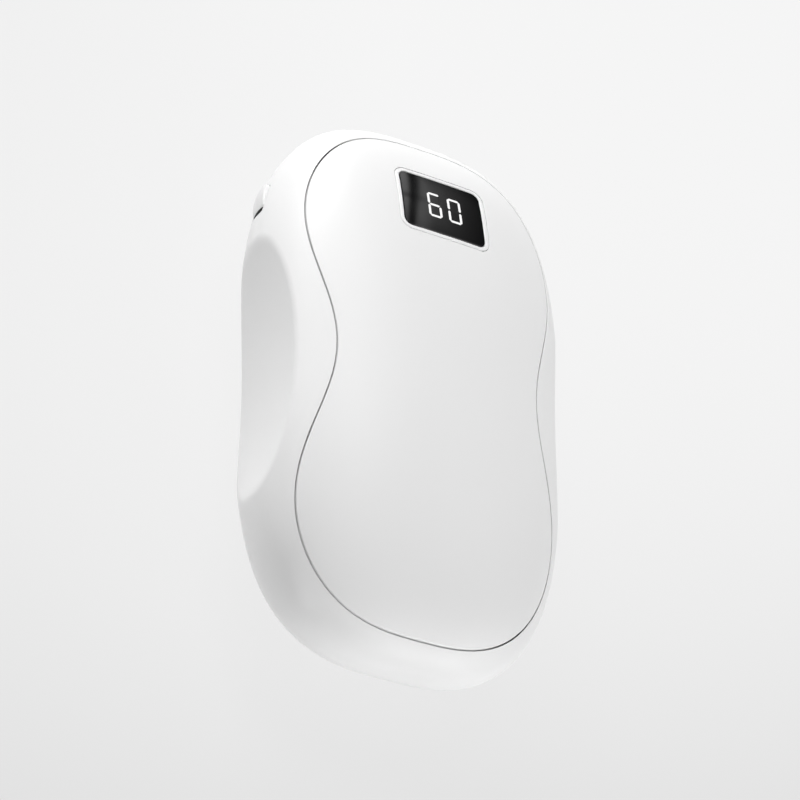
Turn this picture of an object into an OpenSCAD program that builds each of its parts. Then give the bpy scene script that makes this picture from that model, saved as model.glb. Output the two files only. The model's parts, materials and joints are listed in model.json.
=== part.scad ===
// Rechargeable pocket hand warmer: a white pebble with finger scoops in its sides,
// an hourglass cover on the front and the back, a small number display and a side button.
// X runs across, Y runs along towards the display end, Z points out of the front face.
// The origin is under the middle, on the flat patch that the hand warmer lies on.

/* [Body] */
// Length from end to end
body_len = 100; // [94:0.5:108]
// Width at the middle, before the finger scoops are cut
body_w = 58; // [56:0.5:62]
// Thickness from crown to crown, before the resting flat is cut
body_t = 30; // [28.5:0.5:33]
// Squareness of the outline seen from the front, where 2 is an ellipse
outline_power = 3.05; // [2.9:0.05:3.4]
// Fullness of the domed faces seen from the end, where 2 is an ellipse
dome_power = 2.4; // [2.3:0.05:2.6]
// Wall of the housing ring
wall = 2.2; // [1.8:0.1:2.4]
// Depth of the flat that is cut off the back crown
rest_cut = 0.5; // [0.3:0.1:0.8]

/* [Finger scoops] */
// Depth of each scoop at its middle
scoop_depth = 3.9; // [3.5:0.1:4.2]
// Radius of each scoop, seen from the front
scoop_r = 100; // [90:5:115]
// Place of the scoops' middle along the body
scoop_y = -2.25; // [-3:0.25:0]
// How far each scoop's rounded wall would fall inwards up to the height of the crown
scoop_fall = 0.5; // [0:0.1:1.2]
// Width of the soft edge where a scoop meets the dome
scoop_blend = 0.6; // [0.4:0.1:1.2]

/* [Covers] */
// Thickness of the front and back covers
cover_t = 2.0; // [1.6:0.1:2.2]
// Width of the seam between a cover and the ring
seam_gap = 0.25; // [0.2:0.05:0.4]
// Rim of the ring beside a cover, at its widest
rim_side = 2.25; // [2:0.05:2.8]
// Rim of the ring at each end of a cover
rim_end = 3.75; // [3.4:0.05:4.4]
// Squareness of the cover's outline before its waist is drawn in
cover_power = 2.9; // [2.7:0.05:3.1]
// Share by which the waist of a cover is drawn in
waist_draw = 0.289; // [0.26:0.005:0.3]
// Half the length over which the waist is drawn in
waist_span = 19.5; // [18:0.5:21]
// Place of the waist along the cover
waist_y = -0.25; // [-1.5:0.25:1]
// Shift of the cover's outline along the body
cover_y = -0.5; // [-1:0.1:0]
// Share by which the lower lobe is wider than the display lobe
lobe_taper = 0.02; // [0:0.005:0.03]
// Height of a cover's rim face
rim_h = 2.0; // [1.8:0.1:2.2]
// Width of the ledge that a cover sits on
ledge_w = 1.8; // [1.6:0.1:2]
// Thickness of that ledge
ledge_t = 1.4; // [1.2:0.1:1.5]
// Clearance between a cover and its ledge
seat_gap = 0.1; // [0.05:0.05:0.15]

/* [Snap clips] */
// Width of each clip along the rim
clip_w = 3; // [2.5:0.5:3.5]
// Thickness of a clip's leg
clip_t = 1.1; // [0.9:0.1:1.2]
// Reach of a clip's hook under the ledge
hook_reach = 0.5; // [0.4:0.1:0.6]
// Height of a clip's hook
hook_h = 0.9; // [0.7:0.1:1]
// Clearance round a clip
clip_gap = 0.15; // [0.1:0.05:0.2]

/* [Display] */
// Width of the black window
window_w = 15.6; // [15:0.1:16]
// Length of the black window
window_l = 11.7; // [11.2:0.1:12]
// Corner radius of the window
window_r = 1.3; // [1:0.1:1.6]
// Thickness of the window
window_t = 1.4; // [1.2:0.1:1.5]
// Distance from the display end to the window's middle
window_end = 18.3; // [18:0.1:18.8]
// Shift of the display across the cover
window_x = 0.9; // [0:0.1:1]
// Width of the white bezel round the window
bezel_w = 0.8; // [0.7:0.05:0.95]
// Clearance between window, bezel and cover
fit_gap = 0.1; // [0.05:0.05:0.15]
// Width of the bezel's flange behind the cover
flange_w = 1.0; // [0.8:0.1:1.2]
// Thickness of the bezel's flange
flange_t = 0.8; // [0.6:0.1:0.9]
// Height of a digit
digit_h = 5.3; // [5:0.1:5.8]
// Width of a digit
digit_w = 2.6; // [2.4:0.1:3]
// Stroke of a digit's segments
stroke = 0.45; // [0.4:0.05:0.55]
// Distance from one digit to the next
digit_pitch = 3.9; // [3.8:0.1:4.2]
// Shift of the digits across the window
digit_x = 0.25; // [0:0.05:0.4]
// Gap between two segments
segment_gap = 0.12; // [0.1:0.02:0.16]

/* [Power button] */
// Length of the button along the side
button_l = 4.9; // [4.6:0.1:5.4]
// Width of the button across the side
button_w = 4.6; // [4.2:0.1:4.8]
// Corner radius of the button
button_r = 0.6; // [0.4:0.1:1]
// Height of the button above the side
button_proud = 0.75; // [0.6:0.05:0.9]
// Radius of the button's crown
crown_r = 10.5; // [9:0.5:14]
// Shift of the button's highest place towards the display end
crown_shift = 1.6; // [0.8:0.1:1.8]
// Shift of the button's highest place towards the front
crown_rise = 1.2; // [0.8:0.1:1.4]
// Distance from the display end to the button's middle
button_end = 18.2; // [17.9:0.1:18.6]
// Place of the button behind the middle plane
button_drop = 1.7; // [1.6:0.05:1.8]
// Gap round the button
button_gap = 0.2; // [0.15:0.05:0.3]
// Extra width of the finger slit at the button's lower end
button_slit = 0.8; // [0.5:0.1:0.9]
// Travel of the button
button_travel = 0.35; // [0.25:0.05:0.4]
// Radius of the switch's plunger
plunger_r = 0.6; // [0.5:0.05:0.65]
// Running clearance round the plunger
plunger_gap = 0.05; // [0.03:0.01:0.08]

/* [Battery] */
// Distance from the display end to the battery
battery_head = 32; // [31.5:0.5:35]
// Distance from the lower end to the battery
battery_tail = 18; // [17:0.5:21]
// Room between the battery's tray and the ring at the waist
battery_room = 3.1; // [2.9:0.1:3.6]
// Length of the terminal end
terminal_l = 3.5; // [3:0.1:4]

/* [Tray and screws] */
// Wall and floor of the battery tray
tray_t = 1.1; // [0.9:0.1:1.2]
// Clearance between the tray and the battery
tray_gap = 0.3; // [0.2:0.05:0.4]
// Thickness of the tray's arms and ears
ear_t = 1.6; // [1.4:0.1:1.8]
// Outer radius of the ring's screw lugs
lug_r = 2.5; // [2.3:0.1:2.6]
// Height of the screw lugs
lug_h = 3.6; // [3.2:0.1:3.8]
// Radius of a screw's thread
screw_r = 0.9; // [0.8:0.05:1]
// Radius of a screw's head
head_r = 1.8; // [1.6:0.05:1.9]
// Height of a screw's head
head_h = 1.1; // [0.9:0.1:1.2]
// Length of thread inside a lug
screw_bite = 3.0; // [2.6:0.1:3.1]

/* [Electronics] */
// Thickness of the main board
board_t = 1.0; // [0.8:0.1:1.2]
// Clearance between a part and what it is glued or soldered to
mount_gap = 0.05; // [0.03:0.01:0.08]
// Width of the socket's metal shell
usb_w = 8.94; // [8.8:0.02:9]
// Height of the socket's metal shell
usb_h = 3.26; // [3.2:0.02:3.3]
// Length of the socket's metal shell
usb_l = 7.35; // [7:0.05:7.6]
// Sheet thickness of the socket's metal shell
usb_t = 0.3; // [0.25:0.05:0.35]
// Gap between the shell and the opening in the ring
usb_gap = 0.25; // [0.2:0.05:0.35]
// Radius of an insulated lead
lead_r = 0.55; // [0.45:0.05:0.6]

/* [Heaters] */
// Distance from the battery's side in to a heater
heater_in = 4.5; // [4:0.5:6]
// Distance from the battery's ends in to a heater
heater_short = 0; // [0:0.5:3]
// Thickness of the aluminium heat spreaders
spreader_t = 0.6; // [0.5:0.1:0.8]
// Thickness of the heater films
film_t = 0.3; // [0.2:0.05:0.4]
// Thickness of the front insulation pad at its middle
pad_t = 6.65; // [6.5:0.05:7.5]

/* [Hidden] */

half_w = body_w / 2;
half_l = body_len / 2;
half_t = body_t / 2;
// Height of the middle plane above the resting flat
mid_z = half_t - rest_cut;
window_y = half_l - window_end;
button_y = half_l - button_end;
// The battery fills the length and the width that its neighbours leave
battery_l = body_len - battery_head - battery_tail;
battery_w = body_w - 2 * (scoop_depth + wall + battery_room + tray_t + tray_gap);
battery_y = (battery_tail - battery_head) / 2;
heater_w = battery_w - 2 * heater_in;
heater_l = battery_l - 2 * heater_short;
// Depths below the outer face of the heat spreaders, the films and the pads
spreader_d = cover_t + 0.1;
film_d = spreader_d + spreader_t + 2 * mount_gap;
pad_d = film_d + film_t + mount_gap;
// Clearance above and below an insulation pad
pad_gap = 0.1;
battery_t = body_t - 2 * (pad_d + pad_t + 2 * pad_gap);
// Stations round the ring and the covers
stations = 84;
// Steps across the ring's outer face, from a seam to the middle plane
nose_steps = 9;
// Height near which a scoop meets the dome at its middle
crease_z = 0.61 * half_t;
// Share of the way to the seam of each circle of points on a cover
cover_steps = [0.18, 0.36, 0.54, 0.7, 0.84, 0.94, 1];
// Stations and steps of the small domed plates
plate_stations = 40;
plate_steps = [0.35, 0.7, 1];
white = "whitesmoke";

// Radius of a superellipse in one direction
function polar(a, hx, hy, k) = pow(pow(abs(cos(a)) / hx, k) + pow(abs(sin(a)) / hy, k), -1 / k);

// Height of the domed face above the middle plane, or of a surface set in by some distance
function face_z(p, inset = 0) =
    let (u = pow(pow(abs(p[0]) / (half_w - inset), outline_power)
               + pow(abs(p[1]) / (half_l - inset), outline_power), 1 / outline_power))
    (half_t - inset) * pow(max(0, 1 - pow(u, dome_power)), 1 / dome_power);

// Point of a cover's hourglass seam for a direction
function seam(a) =
    let (r = polar(a, half_w - rim_side, half_l - rim_end, cover_power),
         y = r * sin(a),
         waist = 1 - waist_draw * exp(-pow((y - waist_y) / waist_span, 2)),
         taper = 1 - lobe_taper * y / half_l)
    [r * cos(a) * waist * taper, y + cover_y];

// Outward normal of the seam, seen from the front
function seam_normal(a) =
    let (t = seam(a + 0.5) - seam(a - 0.5))
    [t[1], -t[0]] / norm(t);

// Seam moved outwards by some distance
function seam_off(a, d) = seam(a) + d * seam_normal(a);

// Distance from the middle to a finger scoop, in one direction and at one height
function scoop_reach(a, z) =
    let (cx = half_w - scoop_depth - scoop_fall * pow(z / half_t, 2) + scoop_r,
         b = abs(cos(a)) * cx + sin(a) * scoop_y,
         q = b * b - (cx * cx + scoop_y * scoop_y - scoop_r * scoop_r))
    q > 0 && b > 0 ? b - sqrt(q) : 2 * half_l;

// Smaller of two distances, blended softly where they are nearly the same
function soft_min(a, b, k) =
    let (h = max(k - abs(a - b), 0) / k)
    min(a, b) - h * h * k / 4;

// Distance from the middle to the outer face, in one direction and at one height
function side_reach(a, z) =
    let (u = pow(max(0, 1 - pow(abs(z) / half_t, dome_power)), 1 / dome_power))
    soft_min(u * polar(a, half_w, half_l, outline_power), scoop_reach(a, z), scoop_blend);

// Outer face as a point, and its normal seen from the front
function side_point(a, z) = side_reach(a, z) * [cos(a), sin(a)];
function side_normal(a, z) =
    let (t = side_point(a + 0.5, z) - side_point(a - 0.5, z))
    [t[1], -t[0]] / norm(t);

function lift(p, z) = [p[0], p[1], z];
function mirror_z(pts) = [for (i = [len(pts) - 1 : -1 : 0]) [pts[i][0], pts[i][1], -pts[i][2]]];

// Section of the housing ring at one station, its front half from ledge to middle plane
function ring_section(s) =
    let (a = s * 360 / stations,
         p = seam_off(a, seam_gap / 2),
         way = atan2(p[1], p[0]),
         z_seam = face_z(p),
         z_ledge = face_z(seam(a)) - rim_h - seat_gap,
         z_under = z_ledge - ledge_t,
         start = asin(pow(z_seam / half_t, dome_power / 2)),
         crease = acos(pow(min(1, scoop_reach(way, crease_z) / polar(way, half_w, half_l, outline_power)),
                           dome_power / 2)),
         mid = max(min(crease, 0.9 * start), 0.4 * start),
         half = ceil(nose_steps / 2),
         outer = [for (k = [0 : nose_steps])
             let (f = k <= half ? start + (mid - start) * k / half
                                : mid * (1 - (k - half) / (nose_steps - half)),
                  z = half_t * pow(sin(f), 2 / dome_power))
             lift(side_point(way, z), z)],
         inside = side_point(way, z_under) - wall * side_normal(way, z_under))
    [lift(inside, z_under),
     lift(seam_off(a, -ledge_w), z_under),
     lift(seam_off(a, -ledge_w), z_ledge),
     lift(p, z_ledge),
     each outer];

// The whole section: the front half and its mirror image share the point on the middle plane
function ring_loop(s) =
    let (front = ring_section(s), back = mirror_z(front))
    [each front, for (i = [1 : len(back) - 1]) back[i]];

// Solid swept round a closed path, from equal lists of points
module swept_loop(loops) {
    n = len(loops);
    m = len(loops[0]);
    pts = [for (l = loops) each l];
    faces = [for (i = [0 : n - 1], k = [0 : m - 1])
        let (j = (i + 1) % n, l = (k + 1) % m)
        each [[i * m + k, j * m + k, j * m + l], [i * m + k, j * m + l, i * m + l]]];
    polyhedron(pts, faces, convexity = 8);
}

// Solid of revolution with any outline: each list runs from the top pole to the bottom pole
module poled_loft(top, lists, bottom) {
    n = len(lists);
    m = len(lists[0]);
    pts = [top, for (l = lists) each l, bottom];
    last = n * m + 1;
    faces = [for (i = [0 : n - 1])
        let (j = (i + 1) % n, a = 1 + i * m, b = 1 + j * m)
        each [[0, b, a],
              for (k = [0 : m - 2]) each [[a + k, b + k, b + k + 1], [a + k, b + k + 1, a + k + 1]],
              [last, a + m - 1, b + m - 1]]];
    polyhedron(pts, faces, convexity = 6);
}

// Domed plate with a superellipse outline whose faces lie at two depths below the outer face
module domed_plate(c, w, l, k, depth_top, depth_bottom, flat_z) {
    lists = [for (s = [0 : plate_stations - 1])
        let (a = s * 360 / plate_stations,
             e = polar(a, w / 2, l / 2, k) * [cos(a), sin(a)])
        [for (f = plate_steps) lift(c + f * e, face_z(c + f * e, depth_top)),
         for (i = [len(plate_steps) - 1 : -1 : 0])
             let (q = c + plate_steps[i] * e)
             lift(q, is_undef(flat_z) ? face_z(q, depth_bottom) : flat_z)]];
    poled_loft(lift(c, face_z(c, depth_top)), lists,
               lift(c, is_undef(flat_z) ? face_z(c, depth_bottom) : flat_z));
}

// Points of a rectangle with round corners, with extra points along its sides
function rounded(w, l, r, arc = 4, side = 4) =
    [for (c = [0 : 3])
        let (sx = (c == 0 || c == 3) ? 1 : -1,
             sy = c < 2 ? 1 : -1,
             nx = (c == 0 || c == 1) ? -1 : 1,
             o = [sx * (w / 2 - r), sy * (l / 2 - r)],
             last = o + r * [cos(90 * c + 90), sin(90 * c + 90)],
             next = c % 2 == 0 ? [nx * (w / 2 - r), last[1]] : [last[0], nx * (l / 2 - r)])
        each [for (i = [0 : arc]) o + r * [cos(90 * c + 90 * i / arc), sin(90 * c + 90 * i / arc)],
              for (i = [1 : side - 1]) last + (next - last) * i / side]];

module round_rect(w, l, r) {
    square([w - 2 * r, l], center = true);
    square([w, l - 2 * r], center = true);
    for (x = [-1, 1], y = [-1, 1]) translate([x * (w / 2 - r), y * (l / 2 - r)]) circle(r, $fn = 24);
}

// Block from its lowest corner to its highest corner
module block(low, high) {
    translate(low) cube(high - low);
}

// Tube along a list of points, with flat ends square to its first and last stretch
module lead(path, r, sides = 8) {
    n = len(path);
    dirs = [for (i = [0 : n - 1])
        let (d = path[min(i + 1, n - 1)] - path[max(i - 1, 0)]) d / norm(d)];
    rings = [for (i = [0 : n - 1])
        let (d = dirs[i],
             h = abs(d[1]) < 0.9 ? [0, 1, 0] : [1, 0, 0],
             u = cross(d, h) / norm(cross(d, h)),
             v = cross(d, u))
        [for (k = [0 : sides - 1])
            path[i] + r * (cos(360 * k / sides) * u + sin(360 * k / sides) * v)]];
    pts = [for (g = rings) each g];
    faces = [[for (k = [0 : sides - 1]) k],
             for (i = [0 : n - 2], k = [0 : sides - 1])
                 let (l = (k + 1) % sides)
                 each [[i * sides + k, (i + 1) * sides + k, (i + 1) * sides + l],
                       [i * sides + k, (i + 1) * sides + l, i * sides + l]],
             [for (k = [sides - 1 : -1 : 0]) (n - 1) * sides + k]];
    polyhedron(pts, faces, convexity = 4);
}

// Smooth route through a few chosen points
function smooth(pts, steps = 5) =
    let (n = len(pts))
    [for (i = [0 : n - 2], j = [0 : steps - 1])
        let (p0 = pts[max(i - 1, 0)], p1 = pts[i], p2 = pts[i + 1], p3 = pts[min(i + 2, n - 1)],
             t = j / steps)
        0.5 * (2 * p1 + (p2 - p0) * t + (2 * p0 - 5 * p1 + 4 * p2 - p3) * t * t
               + (3 * p1 - p0 - 3 * p2 + p3) * t * t * t),
     pts[n - 1]];

// Everything is drawn about the middle plane and lifted onto the resting flat
module placed() {
    translate([0, 0, mid_z]) children();
}

// Directions of the snap clips round a cover
clip_ways = [40, 78, 102, 140, 220, 270, 320];

// One snap clip, with the seam as its origin and the ring outwards
module clip(a) {
    p = seam(a);
    n = seam_normal(a);
    z_rim = face_z(p) - rim_h;
    z_catch = z_rim - seat_gap - ledge_t - 3 * clip_gap;
    x_out = -ledge_w - clip_gap;
    translate(lift(p, 0)) rotate([0, 0, atan2(n[1], n[0])]) rotate([90, 0, 0])
        linear_extrude(clip_w, center = true)
            polygon([[x_out - clip_t, z_rim + 0.4], [x_out - clip_t, z_catch - hook_h],
                     [x_out, z_catch - hook_h], [x_out + hook_reach + clip_gap, z_catch],
                     [x_out, z_catch], [x_out, z_rim + 0.4]]);
}

// Domed hourglass cover, cut flat at some height if it is the back one
module cover_shell(cut) {
    c = [0, cover_y];
    top = half_t - cut;
    lip = ledge_w + clip_gap + clip_t;
    lists = [for (s = [0 : stations - 1])
        let (a = s * 360 / stations,
             rim = seam_off(a, -seam_gap / 2),
             z_rim = face_z(seam(a)) - rim_h,
             inner = seam_off(a, -lip))
        [for (f = cover_steps)
             let (q = c + f * (rim - c)) lift(q, min(top, face_z(q))),
         lift(rim, z_rim),
         lift(inner, z_rim),
         for (i = [len(cover_steps) - 1 : -1 : 0])
             let (q = c + cover_steps[i] * (inner - c)) lift(q, face_z(q, cover_t))]];
    poled_loft(lift(c, top), lists, lift(c, face_z(c, cover_t)));
}

// Window measures shared by the cover, the bezel, the window and the digits
opening_w = window_w + 2 * (bezel_w + 2 * fit_gap);
opening_l = window_l + 2 * (bezel_w + 2 * fit_gap);
opening_r = window_r + bezel_w + 2 * fit_gap;
window_c = [window_x, window_y];
// Slope of the dome at the window
window_tilt = atan((face_z([0, window_y - window_l / 2]) - face_z([0, window_y + window_l / 2])) / window_l);
bezel_depth = cover_t / cos(window_tilt) + fit_gap;

// Half width of the outline at some place along the body, before the scoops are cut
function outline_x(y) = half_w * pow(1 - pow(abs(y) / half_l, outline_power), 1 / outline_power);

// Housing: the middles of the right-hand screw lugs
upper_lug = [outline_x(half_l - 11.5) - 10.4, half_l - 11.5];
lower_lug = [outline_x(half_l - 9) - 8.4, 9 - half_l];
// The lugs end just clear of the rear cover's rim
lug_top = lug_h + 0.6 + rim_h - face_z(seam(atan2(lower_lug[1], lower_lug[0])));
// Length of a lug's web: it ends inside the ring's wall
function lug_web(p) = side_reach(atan2(p[1], p[0]), lug_top - lug_h) - norm(p) - 0.8 * wall;

module at_lugs(p) {
    for (x = [-1, 1]) translate([x * p[0], p[1], 0]) children();
}

// Switch and button frame: origin on the outer face, X outwards along its normal
button_way = 180 - atan2(button_y, outline_x(button_y));
button_p = side_point(button_way, button_drop);
button_n = side_normal(button_way, button_drop);
// How far the side falls away from the button's plane at the ends of its flange
flange_over = button_slit + 0.4;
flange_half = button_l / 2 + flange_over;
button_fall = max([for (s = [-1, 1])
    (button_p - side_point(button_way + s * asin(flange_half / norm(button_p)), button_drop)) * button_n]);
// Depth of the ring's wall behind the button, where it is deepest
button_under = face_z(seam(button_way)) - rim_h - seat_gap - ledge_t;
button_wall = wall + norm(button_p - side_point(button_way, button_under)) + button_fall;
module at_button() {
    translate(lift(button_p, -button_drop)) rotate([0, 0, atan2(button_n[1], button_n[0])]) children();
}

// Prism with round corners that points outwards in the button's frame, longer by a slit if one is given
module button_prism(grow, x0, x1, slit = 0) {
    translate([x0, slit / 2, 0]) rotate([90, 0, 90])
        linear_extrude(x1 - x0)
            round_rect(button_l + 2 * grow + slit, button_w + 2 * grow, button_r + grow);
}

// The socket: its shell's front edge lies just inside the ring's end
usb_front = half_l - 0.7;
module usb_profile(grow) {
    r = usb_h / 2 - 0.15;
    round_rect(usb_w + 2 * grow, usb_h + 2 * grow, r + grow);
}
module usb_prism(grow, y0, y1) {
    translate([0, y1, 0]) rotate([90, 0, 0]) linear_extrude(y1 - y0) usb_profile(grow);
}

board_bottom = usb_h / 2 + mount_gap;
board_top = board_bottom + board_t;

module housing_ring() {
    color(white) placed() difference() {
        union() {
            swept_loop([for (s = [0 : stations - 1]) ring_loop(s)]);
            lug(upper_lug);
            lug(lower_lug);
        }
        button_prism_hole();
        usb_prism(usb_gap, half_l - 6, half_l + 1);
        at_lugs(upper_lug) pilot_hole();
        at_lugs(lower_lug) pilot_hole();
    }
}

module button_prism_hole() {
    at_button() button_prism(button_gap, -button_wall - 0.6, 3, button_slit);
}

// Screw lugs on the ring's inner wall, each with a web to the wall
module lug(p) {
    way = atan2(p[1], p[0]);
    for (m = [0, 1]) mirror([m, 0, 0]) {
        translate([p[0], p[1], lug_top - lug_h]) cylinder(lug_h, r = lug_r, $fn = 32);
        translate([p[0], p[1], lug_top - lug_h]) rotate([0, 0, way])
            translate([0, -lug_r * 0.7, 0]) cube([lug_web(p), lug_r * 1.4, lug_h]);
    }
}

module pilot_hole() {
    translate([0, 0, lug_top - screw_bite - 0.3]) cylinder(screw_bite + 1, r = screw_r, $fn = 24);
}

module front_cover() {
    color(white) placed() {
        difference() {
            cover_shell(0);
            translate(lift(window_c, 0)) linear_extrude(half_t + 1)
                round_rect(opening_w, opening_l, opening_r);
        }
        for (a = clip_ways) clip(a);
    }
}

module rear_cover() {
    color(white) placed() mirror([0, 0, 1]) {
        cover_shell(rest_cut);
        for (a = clip_ways) clip(a);
    }
}

// Display
module display_bezel() {
    // Each pair is how far a corner of the section stands out from the window, and its depth
    section = [[fit_gap + bezel_w, 0], [fit_gap + bezel_w, bezel_depth],
               [fit_gap + bezel_w + flange_w, bezel_depth],
               [fit_gap + bezel_w + flange_w, bezel_depth + flange_t],
               [-0.6, bezel_depth + flange_t], [-0.6, window_t + mount_gap],
               [fit_gap, window_t + mount_gap], [fit_gap, 0]];
    rows = [for (q = section)
        rounded(window_w + 2 * q[0], window_l + 2 * q[0], window_r + q[0])];
    color("white") placed()
        swept_loop([for (s = [0 : len(rows[0]) - 1])
            [for (k = [0 : len(section) - 1])
                let (q = window_c + rows[k][s]) lift(q, face_z(q) - section[k][1])]]);
}

// Window plate that follows the dome
module window_plate() {
    rim = rounded(window_w, window_l, window_r);
    lists = [for (e = rim)
        [for (f = plate_steps) lift(window_c + f * e, face_z(window_c + f * e)),
         for (i = [len(plate_steps) - 1 : -1 : 0])
             let (q = window_c + plate_steps[i] * e) lift(q, face_z(q) - window_t)]];
    poled_loft(lift(window_c, face_z(window_c)), lists, lift(window_c, face_z(window_c) - window_t));
}

// Outline of one segment that runs along X, with its ends cut to 45 degrees
function segment_x(len, s, g) =
    [[-len / 2 + g, 0], [-len / 2 + s / 2 + g, s / 2], [len / 2 - s / 2 - g, s / 2],
     [len / 2 - g, 0], [len / 2 - s / 2 - g, -s / 2], [-len / 2 + s / 2 + g, -s / 2]];
function turned(pts) = [for (p = pts) [-p[1], p[0]]];
function moved(pts, d) = [for (p = pts) p + d];

// The seven segments of a digit: top, upper right, lower right, bottom, lower left, upper left, middle
function segments(c, grow) =
    let (w = digit_w - stroke, h = (digit_h - stroke) / 2, s = stroke + 2 * grow,
         g = segment_gap / 2 - grow,
         across = segment_x(w, s, g), along = turned(segment_x(h, s, g)))
    [moved(across, c + [0, h]), moved(along, c + [w / 2, h / 2]), moved(along, c + [w / 2, -h / 2]),
     moved(across, c - [0, h]), moved(along, c + [-w / 2, -h / 2]), moved(along, c + [-w / 2, h / 2]),
     moved(across, c)];

tens_c = window_c + [digit_x - digit_pitch / 2, 0];
units_c = window_c + [digit_x + digit_pitch / 2, 0];
// Segments that glow: a six, and a zero
lit_tens = [0, 2, 3, 4, 5, 6];
lit_units = [0, 1, 2, 3, 4, 5];
pipe_gap = 0.03;
pipe_l = window_t + 1.0;

// Light pipe of one segment, its top flush with the window
module light_pipe(outline) {
    n = len(outline);
    pts = [for (p = outline) lift(p, face_z(p)), for (p = outline) lift(p, face_z(p) - pipe_l)];
    faces = [[for (i = [0 : n - 1]) i], [for (i = [n - 1 : -1 : 0]) n + i],
             for (i = [0 : n - 1]) let (j = (i + 1) % n) [j, i, n + i, n + j]];
    polyhedron(pts, faces);
}

module display_window() {
    color("black") placed() difference() {
        window_plate();
        for (c = [tens_c, units_c], o = segments(c, pipe_gap))
            linear_extrude(half_t + 1) polygon(o);
    }
}

module lit_segments() {
    color("white") placed() {
        for (i = lit_tens) light_pipe(segments(tens_c, 0)[i]);
        for (i = lit_units) light_pipe(segments(units_c, 0)[i]);
    }
}

module unlit_segments() {
    color("dimgray") placed() {
        light_pipe(segments(tens_c, 0)[1]);
        light_pipe(segments(units_c, 0)[6]);
    }
}

// Depths below the outer face of what lies under the window
gasket_top = bezel_depth + flange_t + 0.3;
gasket_t = 0.8;
module_top = gasket_top + gasket_t + mount_gap;
module_w = window_w - 1.6;
module_l = window_l - 1.4;
gasket_w = 1.4;

module tilted_at_window(depth) {
    translate(lift(window_c, face_z(window_c) - depth)) rotate([-window_tilt, 0, 0]) children();
}

module display_gasket() {
    color("black") placed() tilted_at_window(gasket_top + gasket_t + 0.1)
        linear_extrude(gasket_t - 0.1) difference() {
            round_rect(module_w + 0.6, module_l + 0.6, 1);
            round_rect(module_w + 0.6 - 2 * gasket_w, module_l + 0.6 - 2 * gasket_w, 0.6);
        }
}

// Light block: its top lies parallel to the window, its foot stands over the board
module_foot = board_top + 0.4;
module display_module() {
    z_mid = face_z(window_c) - module_top - 0.2;
    rise = tan(window_tilt) * module_l / 2;
    color("white") placed() difference() {
        translate([window_x - module_w / 2, 0, 0]) rotate([90, 0, 90]) linear_extrude(module_w)
            polygon([[window_y - module_l / 2, module_foot], [window_y + module_l / 2, module_foot],
                     [window_y + module_l / 2, z_mid - rise], [window_y - module_l / 2, z_mid + rise]]);
        for (c = [tens_c, units_c], o = segments(c, pipe_gap))
            translate([0, 0, module_foot + 2]) linear_extrude(half_t) polygon(o);
    }
}

pin_pitch = 2;
module display_pins() {
    color("silver") placed()
        for (i = [-2 : 2], y = [-1, 1])
            translate(lift(window_c + [i * pin_pitch, y * (module_l / 2 - 1)], board_top - board_t - 0.6))
                cylinder(module_foot - board_top + board_t + 0.6, r = pin_r, $fn = 16);
}

// Main board: a wide part for the display and switch, a tab for the socket
board_gap = 1.8;
board_narrow = usb_w + 3.4;
board_low = half_l - 25.6;
board_high = half_l - 14.6;
board_wide = 2 * (outline_x(board_high) - wall - board_gap);
board_tab = half_l - 5.2;
hole_gap = 0.15;
pin_r = 0.25;
switch_pin_r = 0.3;

module main_board() {
    color("darkgreen") placed() difference() {
        translate([0, 0, board_bottom]) linear_extrude(board_t) {
            translate([-board_wide / 2, board_low]) square([board_wide, board_high - board_low]);
            translate([-board_narrow / 2, board_low]) square([board_narrow, board_tab - board_low]);
            at_lugs(upper_lug) circle(lug_r, $fn = 32);
            translate([-upper_lug[0], board_high - 1])
                square([2 * upper_lug[0], upper_lug[1] - board_high + 1]);
        }
        at_lugs(upper_lug) cylinder(half_t, r = screw_r + hole_gap, $fn = 24);
        for (i = [-2 : 2], y = [-1, 1])
            translate([window_x + i * pin_pitch, window_y + y * (module_l / 2 - 1), 0])
                cylinder(half_t, r = pin_r + mount_gap, $fn = 16);
        for (q = switch_pin_places) at_button() translate([q[0], q[1], 0])
            cylinder(half_t, r = switch_pin_r + mount_gap, $fn = 16);
    }
}

// Parts on and under the board, each by its middle and its size
module on_board(c, size) {
    translate([c[0] - size[0] / 2, c[1] - size[1] / 2, board_top + mount_gap]) cube(size);
}
module under_board(c, size) {
    translate([c[0] - size[0] / 2, c[1] - size[1] / 2, board_bottom - mount_gap - size[2]]) cube(size);
}

controller_w = 5;
controller_t = 1.2;
charger_w = 4;
charger_t = 1.4;
inductor_w = 5.2;
inductor_t = 3;
capacitor = [1.6, 3, 1.3];
capacitor_pitch = 2.4;
small_capacitor = [1.4, 2.6, 1.2];
resistor = [1, 1.8, 0.5];
resistor_pitch = 2.2;
// The front row of parts stands just inside the board's lower edge, the back row beside the display
front_row = board_low + 1.4;
back_row = window_y + 2.3;
module controller_chip() {
    color("black") placed()
        on_board([half_w - 15, board_low + 5.6], [controller_w, controller_w, controller_t]);
}
module charger_chip() {
    color("black") placed() under_board([0, half_l - 11.5], [charger_w, charger_w, charger_t]);
}
module power_inductor() {
    color("dimgray") placed()
        translate([upper_lug[0] - 5.6, back_row, board_bottom - mount_gap - inductor_t]) intersection() {
            cylinder(inductor_t, r = inductor_w / 2 + 0.4, $fn = 32);
            translate([-inductor_w / 2, -inductor_w / 2, 0]) cube([inductor_w, inductor_w, inductor_t]);
        }
}
module board_capacitors() {
    color("tan") placed() {
        for (i = [0 : 2]) on_board([bead[0] - 2.8 - capacitor_pitch * i, board_low + 2.8], capacitor);
        for (i = [0 : 1]) under_board([-7.5 + capacitor_pitch * i, board_high - 2.4], small_capacitor);
    }
}
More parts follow.
